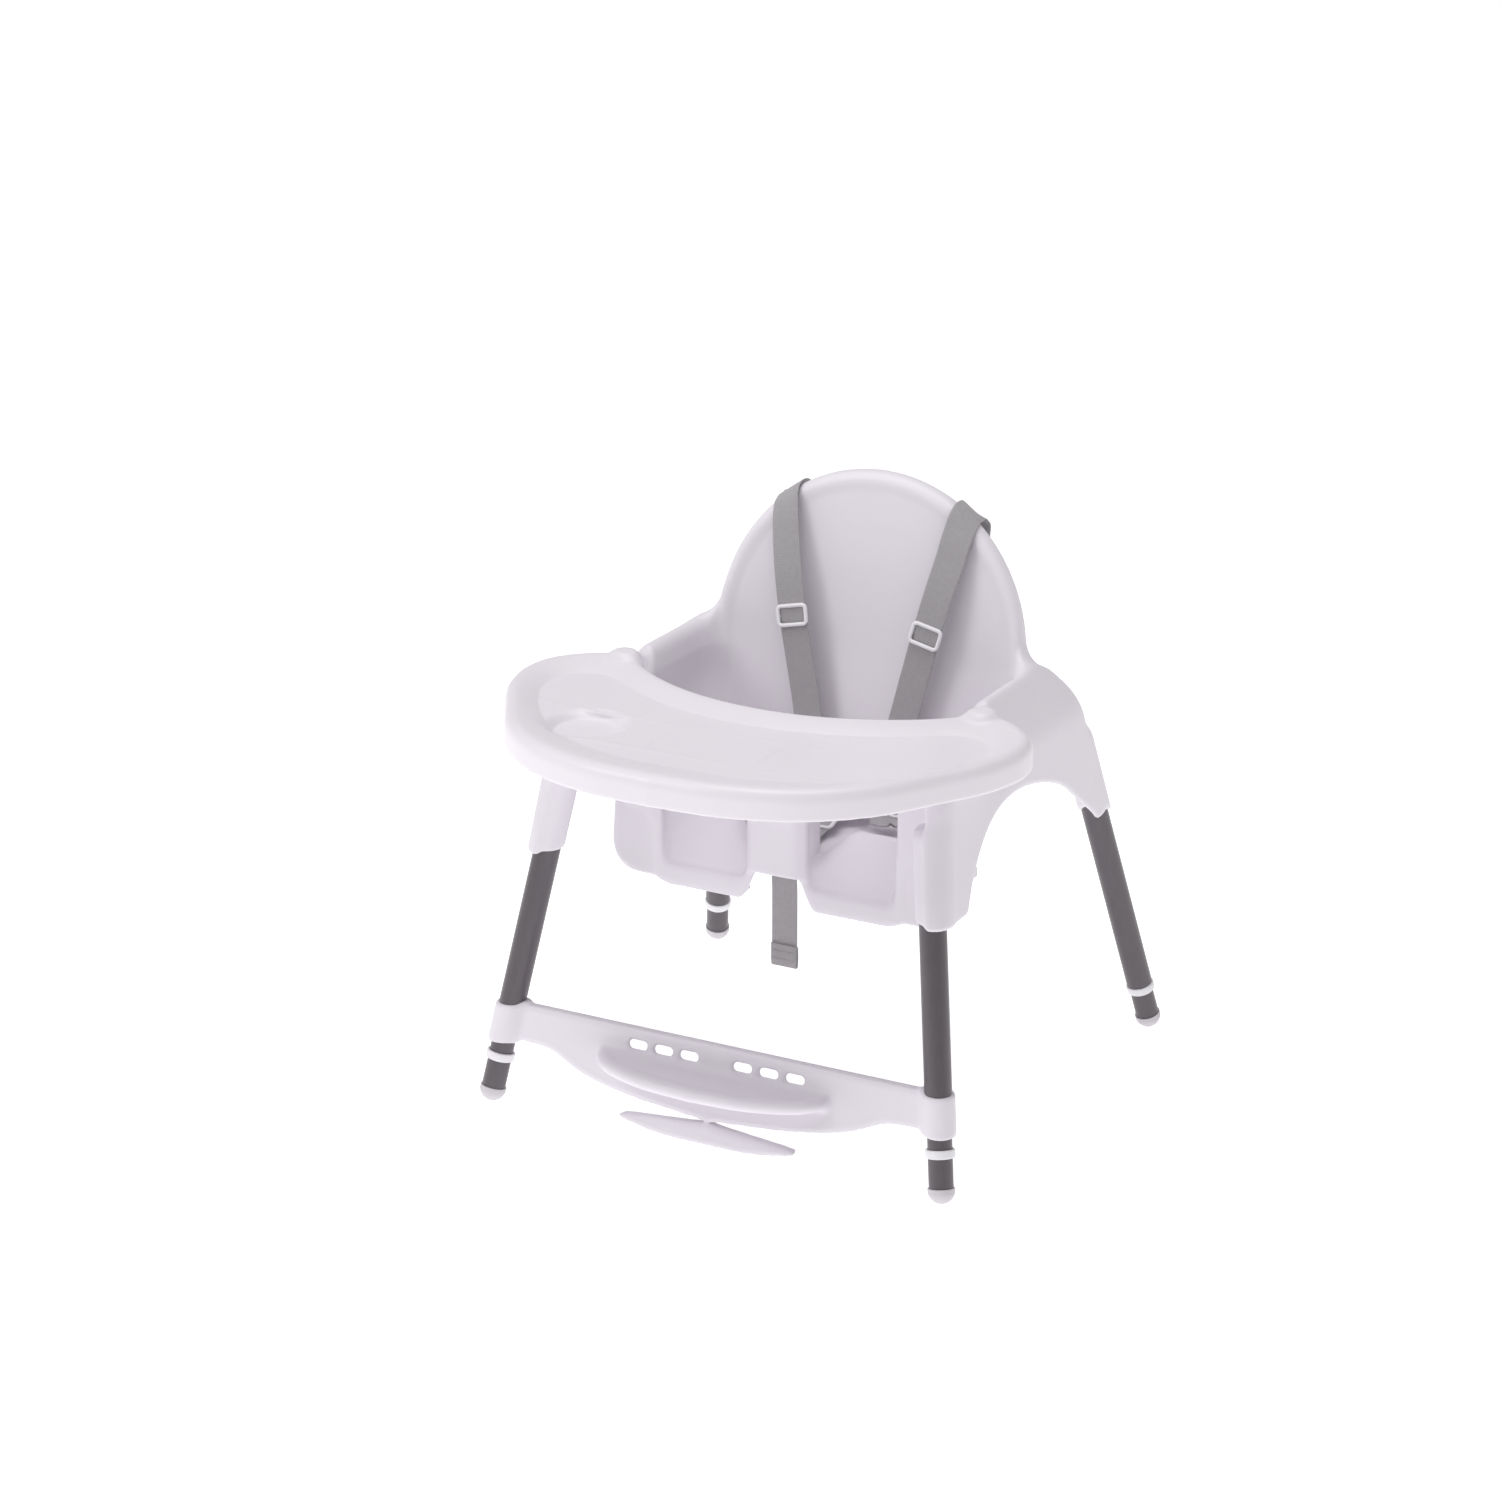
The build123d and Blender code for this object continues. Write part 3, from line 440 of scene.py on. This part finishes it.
def seat_field(x, y, z):
    ax = np.abs(x)
    behind = y - back_surface(x, z)
    disc = back_disc(x, z)
    arms = envelope(ax, y, z)
    back = soft_max(disc, -behind - 14, 17)
    back = most(back, behind - RIM_DEPTH - 7, 408 - z)
    whole = soft_min(arms, back, 28)
    whole = soft_max(whole, -child_space(ax, y, z, behind), 14)
    out = shell(whole, WALL)
    # The back is open behind, inside its rolled rim.
    out = carve(out, most(RIM_DEPTH - behind, DECK + 3 - z, 2 - arms), 4)
    deck = most(np.abs(z - DECK + WALL / 2) - WALL / 2, ax - 184, 3 - behind, behind - 32)
    out = soft_min(out, deck, 4)
    # Nothing spans the front between the arms, and the arms are open below.
    leg_x = 263.4 - 0.153 * z
    out = carve(out, most(y - APRON_Y, ax - leg_x - 3, z - 412), 4)
    out = carve(out, most(y + 40, ax - 181, APRON_TOP - z), 4)
    out = carve(out, np.maximum(ARCH(y, z), 199 - ax), 5)
    out = carve(out, np.maximum(REAR_ARCH(ax, z), 30 - behind), 5)
    out = carve(out, np.maximum(z - SKIRT_LOW, np.minimum(199 - ax, 20 - behind)), 5)
    out = soft_min(out, apron_frame(ax, y, z), 7)
    out = soft_min(out, post(ax, y, z), 5)
    notch = soft_max(ax - 38.6 + (z - APRON_LOW) * 0.453, z - NOTCH_TOP, 8)
    out = carve(out, most(notch, y + 30), 5)
    for end in LEGS:
        radius, dx, dy = leg_distance(end, ax, y, z)
        low = SOCKET_LOW - z
        if end == "rear":
            low = REAR_SOCKET_LOW + 0.8 * np.abs(0.8 * dy - 0.6 * dx) - z
        socket = soft_max(radius - SOCKET_R, low, 4)
        out = soft_min(out, soft_max(socket, z - SOCKET_TOP, 14), 9)
    across = np.abs(ax - STRAP_X) - 17
    out = carve(out, most(across, np.abs(z - WAIST_SLOT_Z) - 3.2, np.abs(behind) - 14), 3)
    out = carve(out, most(across, np.abs(y - DECK_SLOT_Y) - 7, np.abs(z - DECK) - 14), 3)
    return carve(out, most(ax - 17, np.abs(y - CROTCH_SLOT_Y) - 3.2, np.abs(z - FLOOR) - 14), 3)


def make_seat(material):
    seat = moulded("seat_moulding", seat_field, (-256, -176, 216), (256, 272, 632), CELL, True)
    return finish_piece(seat, material, "chair", "shell_white", "seat_shell")


# ---------------------------------------------------------------- tray

def closed_rear(half, rear_mid_y):
    """Half an outline, carried on to the middle by the arc of the child's edge."""
    x0, y0 = half[-1]
    rise = y0 - rear_mid_y
    radius = (x0 * x0 + rise * rise) / (2 * rise)
    end = math.asin(x0 / radius)
    arc = [(radius * math.sin(a), rear_mid_y + radius * (1 - math.cos(a)))
           for a in np.linspace(end, 0, 30)[1:]]
    line = np.concatenate([curve(half), arc])
    return np.concatenate([line, [(-x, y) for x, y in line[::-1][1:-1]]])


TRAY_EDGE = Outline(closed_rear(
    [(0, -322.5), (80, -316), (150, -291), (205, -246), (246, -183), (278, -122), (286.5, -76), (280, -42),
     (258, -14), (228, 4), (205, 8), (190, 2), (178, -16)], -82.5))
TRAY_DISH = Outline(closed_rear(
    [(0, -265), (75, -260), (140, -238), (190, -198), (226, -150), (247, -105), (249, -78), (238, -58),
     (218, -48), (200, -48), (184, -56)], -118))


def tray_field(x, y, z):
    ax = np.abs(x)
    edge = TRAY_EDGE(x, y)
    dish = TRAY_DISH(x, y)
    share = np.clip(dish / np.maximum(dish - edge, 1e-3), 0, 1)
    top = TRAY_FLOOR + (TRAY_RIM - TRAY_FLOOR) * (1 - (1 - share) ** 1.7)
    cup = np.hypot(x - CUP[0], y - CUP[1])
    recess = TRAY_FLOOR - CUP_DEPTH + np.maximum(cup - CUP_R, 0) * 0.95
    top = soft_min(top, recess, 5)
    solid = soft_max(edge, (z - top) * 0.97, 15)
    out = soft_max(shell(solid, TRAY_WALL), TRAY_LOW - z, 4)
    lug = soft_max(np.hypot(ax - LUG[0], y - LUG[1]) - 14, z - 450.3, 9)
    out = soft_min(out, np.maximum(lug, 436 - z), 10)
    # Ribs under the floor, and the pair that carries each catch.
    ribs = np.minimum(np.abs(ax - 60) - 1.6, np.abs(np.abs(y + 190) - 40) - 1.6)
    ribs = most(ribs, edge + 12, z - TRAY_FLOOR - 1 + TRAY_WALL / 2, 421 - z, 2 + CUP_R - cup)
    out = soft_min(out, ribs, 3)
    guide = most(np.abs(np.abs(y + 50) - 13.9) - 1.5, np.abs(ax - 254) - 17, z - 433, 413.2 - z)
    out = np.minimum(out, np.maximum(guide, edge + 2))
    # Room for the arm rails and for the step in the arms behind the tray.
    rails = np.abs(ax - 204) - 30
    out = carve(out, most(rails, -80 - y, z - DECK - 0.6), 3)
    out = carve(out, most(rails, -30 - y, z - 430), 3)
    return carve(out, most(174 - ax, 11 - y), 3)


def make_tray(material):
    tray = moulded("tray_moulding", tray_field, (-292, -328, 408), (292, 16, 456), FINE_CELL, False)
    return finish_piece(tray, material, "tray", "tray_white", "tray")


# ---------------------------------------------------------------- footrest

REST_EDGE = Outline(mirrored(np.concatenate([
    curve([(0, 12), (55, 13), (100, 20), (1.7, 32), (160, 54), (196, 68), (222, 70), (247, 70)]),
    curve([(247, 71), (246, 90), (242, REST_TOP)], 4), [(0, REST_TOP)]])))
SHELF_EDGE = Outline(mirrored(np.concatenate([
    curve([(0, -62), (70, -54), (118, -32), (130, -18), (134, 4)]), [(0, 8)]])))


def rest_field(x, y, z):
    ax = np.abs(x)
    leg_y = -200.4 + 0.206 * z
    belly = 2 + 15 * np.clip(1 - z / REST_TOP, 0, 1) * np.exp(-(ax / 165) ** 4)
    off = (y - leg_y + belly) * 0.98
    edge = REST_EDGE(x, z)
    plate = soft_max(np.abs(off) - REST_WALL / 2, edge, 5)
    rim = most(shell(edge, 4.0), -off, off - 11)
    out = soft_min(plate, soft_max(rim, off - 10, 3), 4)
    forward = y - (-200.4 + 0.206 * SHELF_Z - 4)
    plan = SHELF_EDGE(x, forward)
    top = SHELF_Z - 2.2 * ramp((-plan - 8) / 14)
    shelf = soft_max(soft_max(plan, z - top, 9), SHELF_Z - SHELF_THICK - z, 9)
    shelf = np.maximum(shelf, off)
    out = soft_min(out, shelf, 7)
    for centre in OVALS:
        hole = np.hypot(np.maximum(np.abs(ax - centre) - 6, 0), z - OVAL_Z) - 4.6
        out = carve(out, most(hole, np.abs(off) - 24), 3)
    radius, dx, dy = leg_distance("front", ax, y, z)
    sleeve = soft_max(soft_max(radius - SOCKET_R, SLEEVE_LOW - z, 3), z - REST_TOP - 0.7, 3)
    return soft_min(out, sleeve, 8)


def make_footrest(material):
    low, high = (-274, -268, 8), (274, -150, 112)
    rest = moulded("footrest_moulding", rest_field, low, high, FINE_CELL, True)
    return finish_piece(rest, material, "chair", "footrest_white", "footrest")


# ---------------------------------------------------------------- materials

class Nodes:
    """Small helper that adds nodes to a material and links them."""

    def __init__(self, name):
        self.material = bpy.data.materials.new(name)
        self.material.use_nodes = True
        self.tree = self.material.node_tree
        self.shader = self.tree.nodes["Principled BSDF"]

    def add(self, kind, inputs=(), **settings):
        node = self.tree.nodes.new(kind)
        for key, value in settings.items():
            setattr(node, key, value)
        for key, value in dict(inputs).items():
            if isinstance(value, bpy.types.NodeSocket):
                self.tree.links.new(value, node.inputs[key])
            else:
                node.inputs[key].default_value = value
        return node

    def link(self, source, socket):
        self.tree.links.new(source, self.shader.inputs[socket])

    def noise(self, scale, detail=3.0, vector=None):
        node = self.add("ShaderNodeTexNoise", {"Scale": scale, "Detail": detail})
        self.tree.links.new(vector or self.coords(), node.inputs["Vector"])
        return node.outputs["Fac"]

    def coords(self):
        return self.add("ShaderNodeTexCoord").outputs["Object"]

    def spread(self, fac, low, high):
        return self.add("ShaderNodeMapRange", {"Value": fac, "To Min": low, "To Max": high}).outputs["Result"]

    def mix(self, fac, a, b):
        node = self.add("ShaderNodeMix", data_type="RGBA")
        for socket, value in ((node.inputs[0], fac), (node.inputs[6], a), (node.inputs[7], b)):
            if isinstance(value, bpy.types.NodeSocket):
                self.tree.links.new(value, socket)
            else:
                socket.default_value = value
        return node.outputs[2]

    def bump(self, height, strength, distance):
        node = self.add("ShaderNodeBump", {"Height": height, "Strength": strength, "Distance": distance})
        self.link(node.outputs["Normal"], "Normal")


def plastic(name, colour, shade, roughness, grain=900.0):
    """Moulded plastic: slow colour drift, a fine grain, and gloss that varies a little."""
    n = Nodes(name)
    drift = n.noise(7.0, 2.0)
    n.link(n.mix(n.spread(drift, 0.0, 1.0), (*colour, 1), (*shade, 1)), "Base Color")
    n.link(n.spread(n.noise(38.0, 4.0), roughness - 0.05, roughness + 0.07), "Roughness")
    n.bump(n.noise(grain, 2.0), 0.12, 0.0003)
    n.shader.inputs["Subsurface Weight"].default_value = 0.06
    n.shader.inputs["Subsurface Radius"].default_value = (0.006, 0.005, 0.006)
    n.shader.inputs["Subsurface Scale"].default_value = 1.0
    return n.material


def painted_tube(name, colour, shade):
    """Powder-coated steel: fine orange peel and faint rub marks along the leg."""
    n = Nodes(name)
    rub = n.add("ShaderNodeMapping", {"Vector": n.coords(), "Scale": (60.0, 60.0, 9.0)}).outputs["Vector"]
    marks = n.noise(3.0, 5.0, rub)
    n.link(n.mix(n.spread(marks, 0.0, 1.0), (*colour, 1), (*shade, 1)), "Base Color")
    n.link(n.spread(marks, 0.28, 0.4), "Roughness")
    n.bump(n.noise(1400.0, 2.0), 0.25, 0.0002)
    n.shader.inputs["Metallic"].default_value = 0.25
    return n.material


def bright_steel(name):
    n = Nodes(name)
    brushed = n.add("ShaderNodeMapping", {"Vector": n.coords(), "Scale": (40.0, 900.0, 40.0)})
    brushed = brushed.outputs["Vector"]
    lines = n.noise(4.0, 4.0, brushed)
    n.link(n.mix(lines, (0.52, 0.52, 0.54, 1), (0.68, 0.68, 0.7, 1)), "Base Color")
    n.link(n.spread(lines, 0.22, 0.42), "Roughness")
    n.bump(lines, 0.1, 0.0001)
    n.shader.inputs["Metallic"].default_value = 1.0
    return n.material


def webbing(name, colour, shade):
    """Woven polyester webbing. The mesh's UV is in metres: across, then along."""
    n = Nodes(name)
    uv = n.add("ShaderNodeUVMap", uv_map="weave").outputs["UV"]
    ribs = n.add("ShaderNodeTexWave", {"Vector": uv, "Scale": 190.0, "Distortion": 0.4, "Detail": 1.0},
                 wave_type="BANDS", bands_direction="Y", wave_profile="SIN").outputs["Fac"]
    ends = n.add("ShaderNodeTexWave", {"Vector": uv, "Scale": 150.0, "Distortion": 0.3, "Detail": 1.0},
                 wave_type="BANDS", bands_direction="X", wave_profile="SIN").outputs["Fac"]
    weave = n.add("ShaderNodeMath", {0: ribs, 1: ends}, operation="MULTIPLY").outputs[0]
    fuzz = n.noise(260.0, 4.0)
    both = n.add("ShaderNodeMath", {0: weave, 1: fuzz}, operation="ADD").outputs[0]
    n.link(n.mix(n.spread(both, 0.0, 0.8), (*shade, 1), (*colour, 1)), "Base Color")
    n.link(n.spread(fuzz, 0.72, 0.92), "Roughness")
    n.bump(both, 0.6, 0.0004)
    n.shader.inputs["Sheen Weight"].default_value = 0.35
    n.shader.inputs["Sheen Roughness"].default_value = 0.5
    return n.material


def thread(name, colour):
    n = Nodes(name)
    twist = n.noise(1600.0, 3.0)
    n.link(n.mix(twist, (*colour, 1), tuple(0.7 * c for c in colour) + (1,)), "Base Color")
    n.bump(twist, 0.4, 0.0002)
    n.shader.inputs["Roughness"].default_value = 0.8
    return n.material


# ---------------------------------------------------------------- harness

def ribbon(name, path, across, width=WEB_WIDTH, thick=WEB_THICK, per_span=10):
    """Flat band through the path's points; across gives its width direction at each point."""
    line = curve(path, per_span)
    across = np.array(across, float)
    share = np.linspace(0, len(across) - 1, len(line))
    wide = np.stack([np.interp(share, np.arange(len(across)), across[:, i]) for i in range(3)], 1)
    tangent = np.gradient(line, axis=0)
    tangent /= np.linalg.norm(tangent, axis=1)[:, None]
    wide -= tangent * (wide * tangent).sum(1)[:, None]
    wide /= np.linalg.norm(wide, axis=1)[:, None]
    normal = np.cross(tangent, wide)
    half = width / 2
    edge = thick * 0.5
    section = [(-half, 0.0), (-half + 0.5, edge * 0.8), (-half + 1.6, edge), (-half * 0.4, edge),
               (half * 0.4, edge), (half - 1.6, edge), (half - 0.5, edge * 0.8), (half, 0.0)]
    section += [(a, -b) for a, b in section[-2:0:-1]]
    rows = len(section)
    verts = np.concatenate([line + wide * a + normal * b for a, b in section])
    verts = verts.reshape(rows, len(line), 3).transpose(1, 0, 2).reshape(-1, 3)
    faces = []
    for i in range(len(line) - 1):
        for j in range(rows):
            k = (j + 1) % rows
            faces.append((i * rows + j, i * rows + k, (i + 1) * rows + k, (i + 1) * rows + j))
    faces.append(tuple(range(rows))[::-1])
    faces.append(tuple((len(line) - 1) * rows + j for j in range(rows)))
    obj = new_object(name, verts, faces)
    length = np.r_[0, np.cumsum(np.linalg.norm(np.diff(line, axis=0), axis=1))]
    layer = obj.data.uv_layers.new(name="weave")
    for loop in obj.data.loops:
        i, j = divmod(loop.vertex_index, rows)
        layer.data[loop.index].uv = (section[j][0] * MM, length[i] * MM)
    return obj


def mirror_points(points):
    return [(-x, y, z) for x, y, z in points]


RIM_SLOPE = (0.816, 0.0, -0.578)
LEVEL = (1.0, 0.0, 0.0)
SHOULDER_PATH = [
    (41.9, 112, 304), (50, 116, 344), (59, 121.5, 384), (68.5, 125, 426), (78, 129, 468), (88, 137, 514),
    (96.5, 147.5, 552), (101, 155, 576), (103.5, 163, 590), (104, 171, 595.8), (104, 180, 597),
    (104, 189, 594), (104, 193.5, 586), (104, 193, 570), (104, 189, 530), (104, 181, 480), (104, 172, 436),
    (104, 165, 404), (104, 150, 330), (104, 146, 306), (104, 141, 300.5), (104, 130, 300), (103.5, 110, 300)]
SHOULDER_ACROSS = [LEVEL] * 6 + [(0.95, 0, -0.25), (0.88, 0, -0.42)] + [RIM_SLOPE] * 5 + [
    (0.9, 0, -0.35), (0.97, 0, -0.1)] + [LEVEL] * 8
WAIST_PATH = [(103.5, 112, 300), (102.5, 80, 300), (101, 44, 300), (99.5, 24, 300.5), (96, 15, 301.5),
              (89, 18, 300.5), (80, 34, 297.5), (68, 58, 294), (54, 84, 291.5)]
WAIST_ACROSS = [(1, 0, 0)] * 3 + [(1, 0.2, 0), (1, 0.5, 0), (1, 0.75, 0), (1, 0.85, 0), (1, 0.9, 0),
                                  (1, 0.9, 0)]
CROTCH_PATH = [(0, -36.5, 146), (0, -36.5, 180), (0, -36.5, 225), (0, -36.5, 255), (0, -33, 267),
               (0, -20, 270.5), (0, 5, 272), (0, 31, 275), (0, 50, 280), (0, 66, 285)]


def make_straps(material, stitch):
    for name, side in SIDES.items():
        turn = mirror_points if side < 0 else list
        strap = ribbon("webbing_" + name, turn(SHOULDER_PATH), turn(SHOULDER_ACROSS),
                       SHOULDER_WIDTH)
        waist = ribbon("waist_webbing_" + name, turn(WAIST_PATH), turn(WAIST_ACROSS))
        finish_piece(strap, material, "chair", "webbing", "harness_strap_" + name)
        finish_piece(waist, material, "chair", "webbing")
    crotch = ribbon("crotch_webbing", CROTCH_PATH, [LEVEL] * len(CROTCH_PATH))
    finish_piece(crotch, material, "chair", "webbing", "crotch_strap")
    tail = ribbon("crotch_tail", [(0, -38.5, 168), (0, -38.8, 156), (0, -38.4, 147), (0, -37.2, 143.6),
                                  (0, -35.6, 143.8), (0, -34.6, 148), (0, -34.4, 166)], [LEVEL] * 7)
    finish_piece(tail, material, "chair", "webbing")
    stitches = []
    for z in (151.5, 160.5):
        stitches += [((x, -39.9, z), (x + 1.7, -39.9, z)) for x in np.arange(-12.6, 11.5, 2.6)]
    finish_piece(sewn("crotch_stitching", stitches), stitch, "chair", "webbing")


def sewn(name, runs, radius=0.35):
    """Row of thread stitches, each a little bar with rounded ends between two points."""
    verts = []
    faces = []
    for start, end in runs:
        start, end = Vector(start), Vector(end)
        along = (end - start).normalized()
        side = along.orthogonal().normalized()
        other = along.cross(side)
        first = len(verts)
        for share, swell in ((-0.12, 0.35), (0.0, 0.85), (0.25, 1.0), (0.75, 1.0), (1.0, 0.85), (1.12, 0.35)):
            centre = start + (end - start) * share
            for k in range(8):
                angle = math.pi * k / 4
                verts.append(centre + (side * math.cos(angle) + other * math.sin(angle)) * radius * swell)
        for i in range(5):
            for k in range(8):
                j = (k + 1) % 8
                a = first + i * 8
                faces.append((a + k, a + j, a + 8 + j, a + 8 + k))
        faces.append(tuple(first + k for k in range(8))[::-1])
        faces.append(tuple(first + 40 + k for k in range(8)))
    return new_object(name, verts, faces)


def rounded_ring(half_w, half_h, corner, count=10):
    """Points round a rounded rectangle."""
    out = []
    for sx, sy, start in ((1, 1, 0), (-1, 1, 90), (-1, -1, 180), (1, -1, 270)):
        for k in range(count + 1):
            angle = math.radians(start + 90 * k / count)
            out.append((sx * (half_w - corner) + corner * math.cos(angle),
                        sy * (half_h - corner) + corner * math.sin(angle)))
    return out


def slide_mesh(name, origin, along, across, half_w=18.6, half_h=12.4, bar=2.2):
    """Three-bar slide: a rounded frame of rounded bar, with a middle bar."""
    along, across = Vector(along).normalized(), Vector(across)
    across = (across - along * along.dot(across)).normalized()
    up = across.cross(along)
    origin = Vector(origin)
    ring = rounded_ring(half_w - bar, half_h - bar, 4.2)
    verts = []
    faces = []
    sides = 10
    count = len(ring)
    for i in range(count):
        before, after = Vector(ring[i - 1]), Vector(ring[(i + 1) % count])
        run = (after - before).normalized()
        out = Vector((run.y, -run.x))
        for k in range(sides):
            angle = 2 * math.pi * k / sides
            u = ring[i][0] + out.x * bar * math.cos(angle)
            v = ring[i][1] + out.y * bar * math.cos(angle)
            verts.append(origin + across * u + along * v + up * (bar * 0.85 * math.sin(angle)))
    for i in range(count):
        j = (i + 1) % count
        for k in range(sides):
            m = (k + 1) % sides
            faces.append((i * sides + k, j * sides + k, j * sides + m, i * sides + m))
    first = len(verts)
    steps = 13
    for i in range(steps):
        share = 2 * i / (steps - 1) - 1
        u = (half_w - bar) * share
        dip = 4.6 * (1 - share ** 8)
        for k in range(sides):
            angle = 2 * math.pi * k / sides
            verts.append(origin + across * u + along * (1.5 * math.cos(angle))
                         + up * (1.1 * math.sin(angle) - dip))
    for i in range(steps - 1):
        for k in range(sides):
            m = (k + 1) % sides
            a = first + i * sides
            faces.append((a + k, a + m, a + sides + m, a + sides + k))
    faces.append(tuple(first + k for k in range(sides))[::-1])
    faces.append(tuple(first + (steps - 1) * sides + k for k in range(sides)))
    return new_object(name, verts, faces)


def make_slides(material):
    for name, side in SIDES.items():
        low, high = Vector((78, 129, 468)), Vector((96.5, 147.5, 552))
        spot = low + (high - low) * 0.03 + Vector((0, -2.6, 0.4))
        spot.x *= side
        along = Vector(((high - low).x * side, (high - low).y, (high - low).z))
        slide = slide_mesh("shoulder_frame_" + name, spot, along, (1, 0, 0))
        finish_piece(slide, material, "chair", "slide_white", "shoulder_slide_" + name)
        waist = slide_mesh("waist_frame_" + name, (side * 101, 46, 302), (0, 1, 0.0), (1, 0, 0))
        finish_piece(waist, material, "chair", "slide_white", "waist_slide_" + name)
    crotch = slide_mesh("crotch_frame", (0, 42, 280), (0, 34, 9), (1, 0, 0))
    finish_piece(crotch, material, "chair", "slide_white", "crotch_slide")


def buckle_field(x, y, z):
    dx, dy, dz = np.abs(x - BUCKLE[0]), np.abs(y - BUCKLE[1]), z - BUCKLE[2]
    plan = np.hypot(np.maximum(dx - 17, 0), np.maximum(dy - 10, 0)) - 12
    plan = plan + 1.6 * np.exp(-((dx - 20) / 7) ** 2) * (dy > 8)
    crown = 7.5 - 1.8 * (dx / 29) ** 2
    body = soft_max(soft_max(plan, dz - crown, 6), -7.5 - dz, 3)
    well = np.hypot(x - BUCKLE[0], y - BUCKLE[1])
    body = carve(body, most(well - 9.5, 0.5 - dz), 1.5)
    mouth = most(14 - dx, dy - 9.2, np.abs(dz + 4) - 2.0)
    return carve(body, mouth, 1.5)


def make_buckle(material):
    low = [c - h for c, h in zip(BUCKLE, (33, 26, 10))]
    high = [c + h for c, h in zip(BUCKLE, (33, 26, 10))]
    buckle = moulded("buckle_case", buckle_field, low, high, FINE_CELL / 2.2, True)
    finish_piece(buckle, material, "chair", "buckle_white", "buckle_body")


# ---------------------------------------------------------------- feet

def rounded_profile(inner, outer, low, high, r, steps=5):
    """Closed (radius, height) profile of a ring whose two outer edges are rounded."""
    points = [(inner, low)]
    for k in range(steps + 1):
        a = math.pi / 2 * k / steps
        points.append((outer - r + r * math.sin(a), low + r - r * math.cos(a)))
    for k in range(steps + 1):
        a = math.pi / 2 * k / steps
        points.append((outer - r + r * math.cos(a), high - r + r * math.sin(a)))
    points.append((inner, high))
    return points


def make_rings(material):
    for end in LEGS:
        for name, side in SIDES.items():
            matrix = leg_frame(end, side, 49)
            profile = rounded_profile(12.65, 15.2, -4.5, 4.5, 1.6)
            ring = lathe(f"trim_ring_{end}_{name}", profile, matrix)
            finish_piece(ring, material, "chair", "ring_white", f"leg_ring_{end}_{name}")


# ---------------------------------------------------------------- studio

def make_studio():
    scene = bpy.context.scene
    far = STUDIO_HALF
    corners = [(-far, -far, 0), (far, -far, 0), (far, far, 0), (-far, far, 0)]
    floor = new_object("studio_floor", corners, [(0, 1, 2, 3)], False)
    n = Nodes("floor_paper")
    n.link(n.mix(n.noise(3.0), (0.93, 0.93, 0.935, 1), (0.96, 0.96, 0.965, 1)), "Base Color")
    n.shader.inputs["Roughness"].default_value = 0.9
    n.shader.inputs["Emission Color"].default_value = (1, 1, 1, 1)
    n.shader.inputs["Emission Strength"].default_value = 0.62
    put_material(floor, n.material)
    world = bpy.data.worlds.new("studio")
    scene.world = world
    world.use_nodes = True
    world.node_tree.nodes["Background"].inputs["Color"].default_value = (1.0, 0.99, 1.0, 1)
    world.node_tree.nodes["Background"].inputs["Strength"].default_value = 0.4

    def lamp(name, place, aim, size, power, colour=(1, 1, 1)):
        light = bpy.data.lights.new(name, "AREA")
        light.shape = "DISK"
        light.size = size
        light.energy = power
        light.color = colour
        obj = bpy.data.objects.new(name, light)
        obj.location = place
        obj.rotation_euler = (Vector(aim) - Vector(place)).to_track_quat("-Z", "Y").to_euler()
        scene.collection.objects.link(obj)

    lamp("key", (-2.0, -2.4, 2.7), (0, 0, 0.4), 1.7, 32)
    lamp("top", (-0.1, -0.3, 3.2), (0, 0, 0.3), 2.2, 40)

    camera = bpy.data.cameras.new("camera")
    camera.lens = 93.73
    camera.sensor_width = 36.0
    camera.clip_end = 60.0
    holder = bpy.data.objects.new("camera", camera)
    holder.location = (1.7593, -3.3830, 1.7114)
    holder.rotation_euler = (math.radians(90 - 19.364), 0, math.radians(28.280))
    scene.collection.objects.link(holder)
    scene.camera = holder
    scene.view_settings.view_transform = "Standard"
    scene.view_settings.look = "None"


# ---------------------------------------------------------------- assembly

make_studio()
white = plastic("moulded_white", (0.80, 0.765, 0.815), (0.765, 0.73, 0.785), 0.42)
tray_white = plastic("tray_gloss", (0.82, 0.785, 0.83), (0.79, 0.755, 0.805), 0.36)
soft_white = plastic("trim_white", (0.86, 0.84, 0.87), (0.81, 0.79, 0.83), 0.35, 1300.0)
cap_grey = plastic("foot_pad", (0.66, 0.63, 0.66), (0.58, 0.56, 0.59), 0.5, 1500.0)
tube = painted_tube("leg_paint", (0.1, 0.088, 0.098), (0.128, 0.115, 0.125))
dark = plastic("snap_plastic", (0.05, 0.045, 0.05), (0.07, 0.065, 0.07), 0.4, 1500.0)
button = plastic("button_grey", (0.28, 0.27, 0.29), (0.24, 0.23, 0.25), 0.45, 1500.0)
steel = bright_steel("steel")
strap = webbing("grey_webbing", (0.42, 0.405, 0.42), (0.28, 0.268, 0.28))
stitch = thread("grey_thread", (0.5, 0.49, 0.5))

make_seat(white)
make_tray(tray_white)
make_footrest(white)
make_straps(strap, stitch)
make_slides(soft_white)
make_buckle(soft_white)
make_rings(soft_white)

CARRIED = {"leg_tube": tube, "foot_tube": tube, "foot_cap": cap_grey, "snap_button": dark,
           "snap_spring": steel, "tray_catch": soft_white, "buckle_button": button,
           "buckle_tongue": soft_white, "socket_screws": steel, "footrest_screws": steel}
for node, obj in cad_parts.items():
    for prefix, material in CARRIED.items():
        if node.startswith(prefix):
            put_material(obj, material)
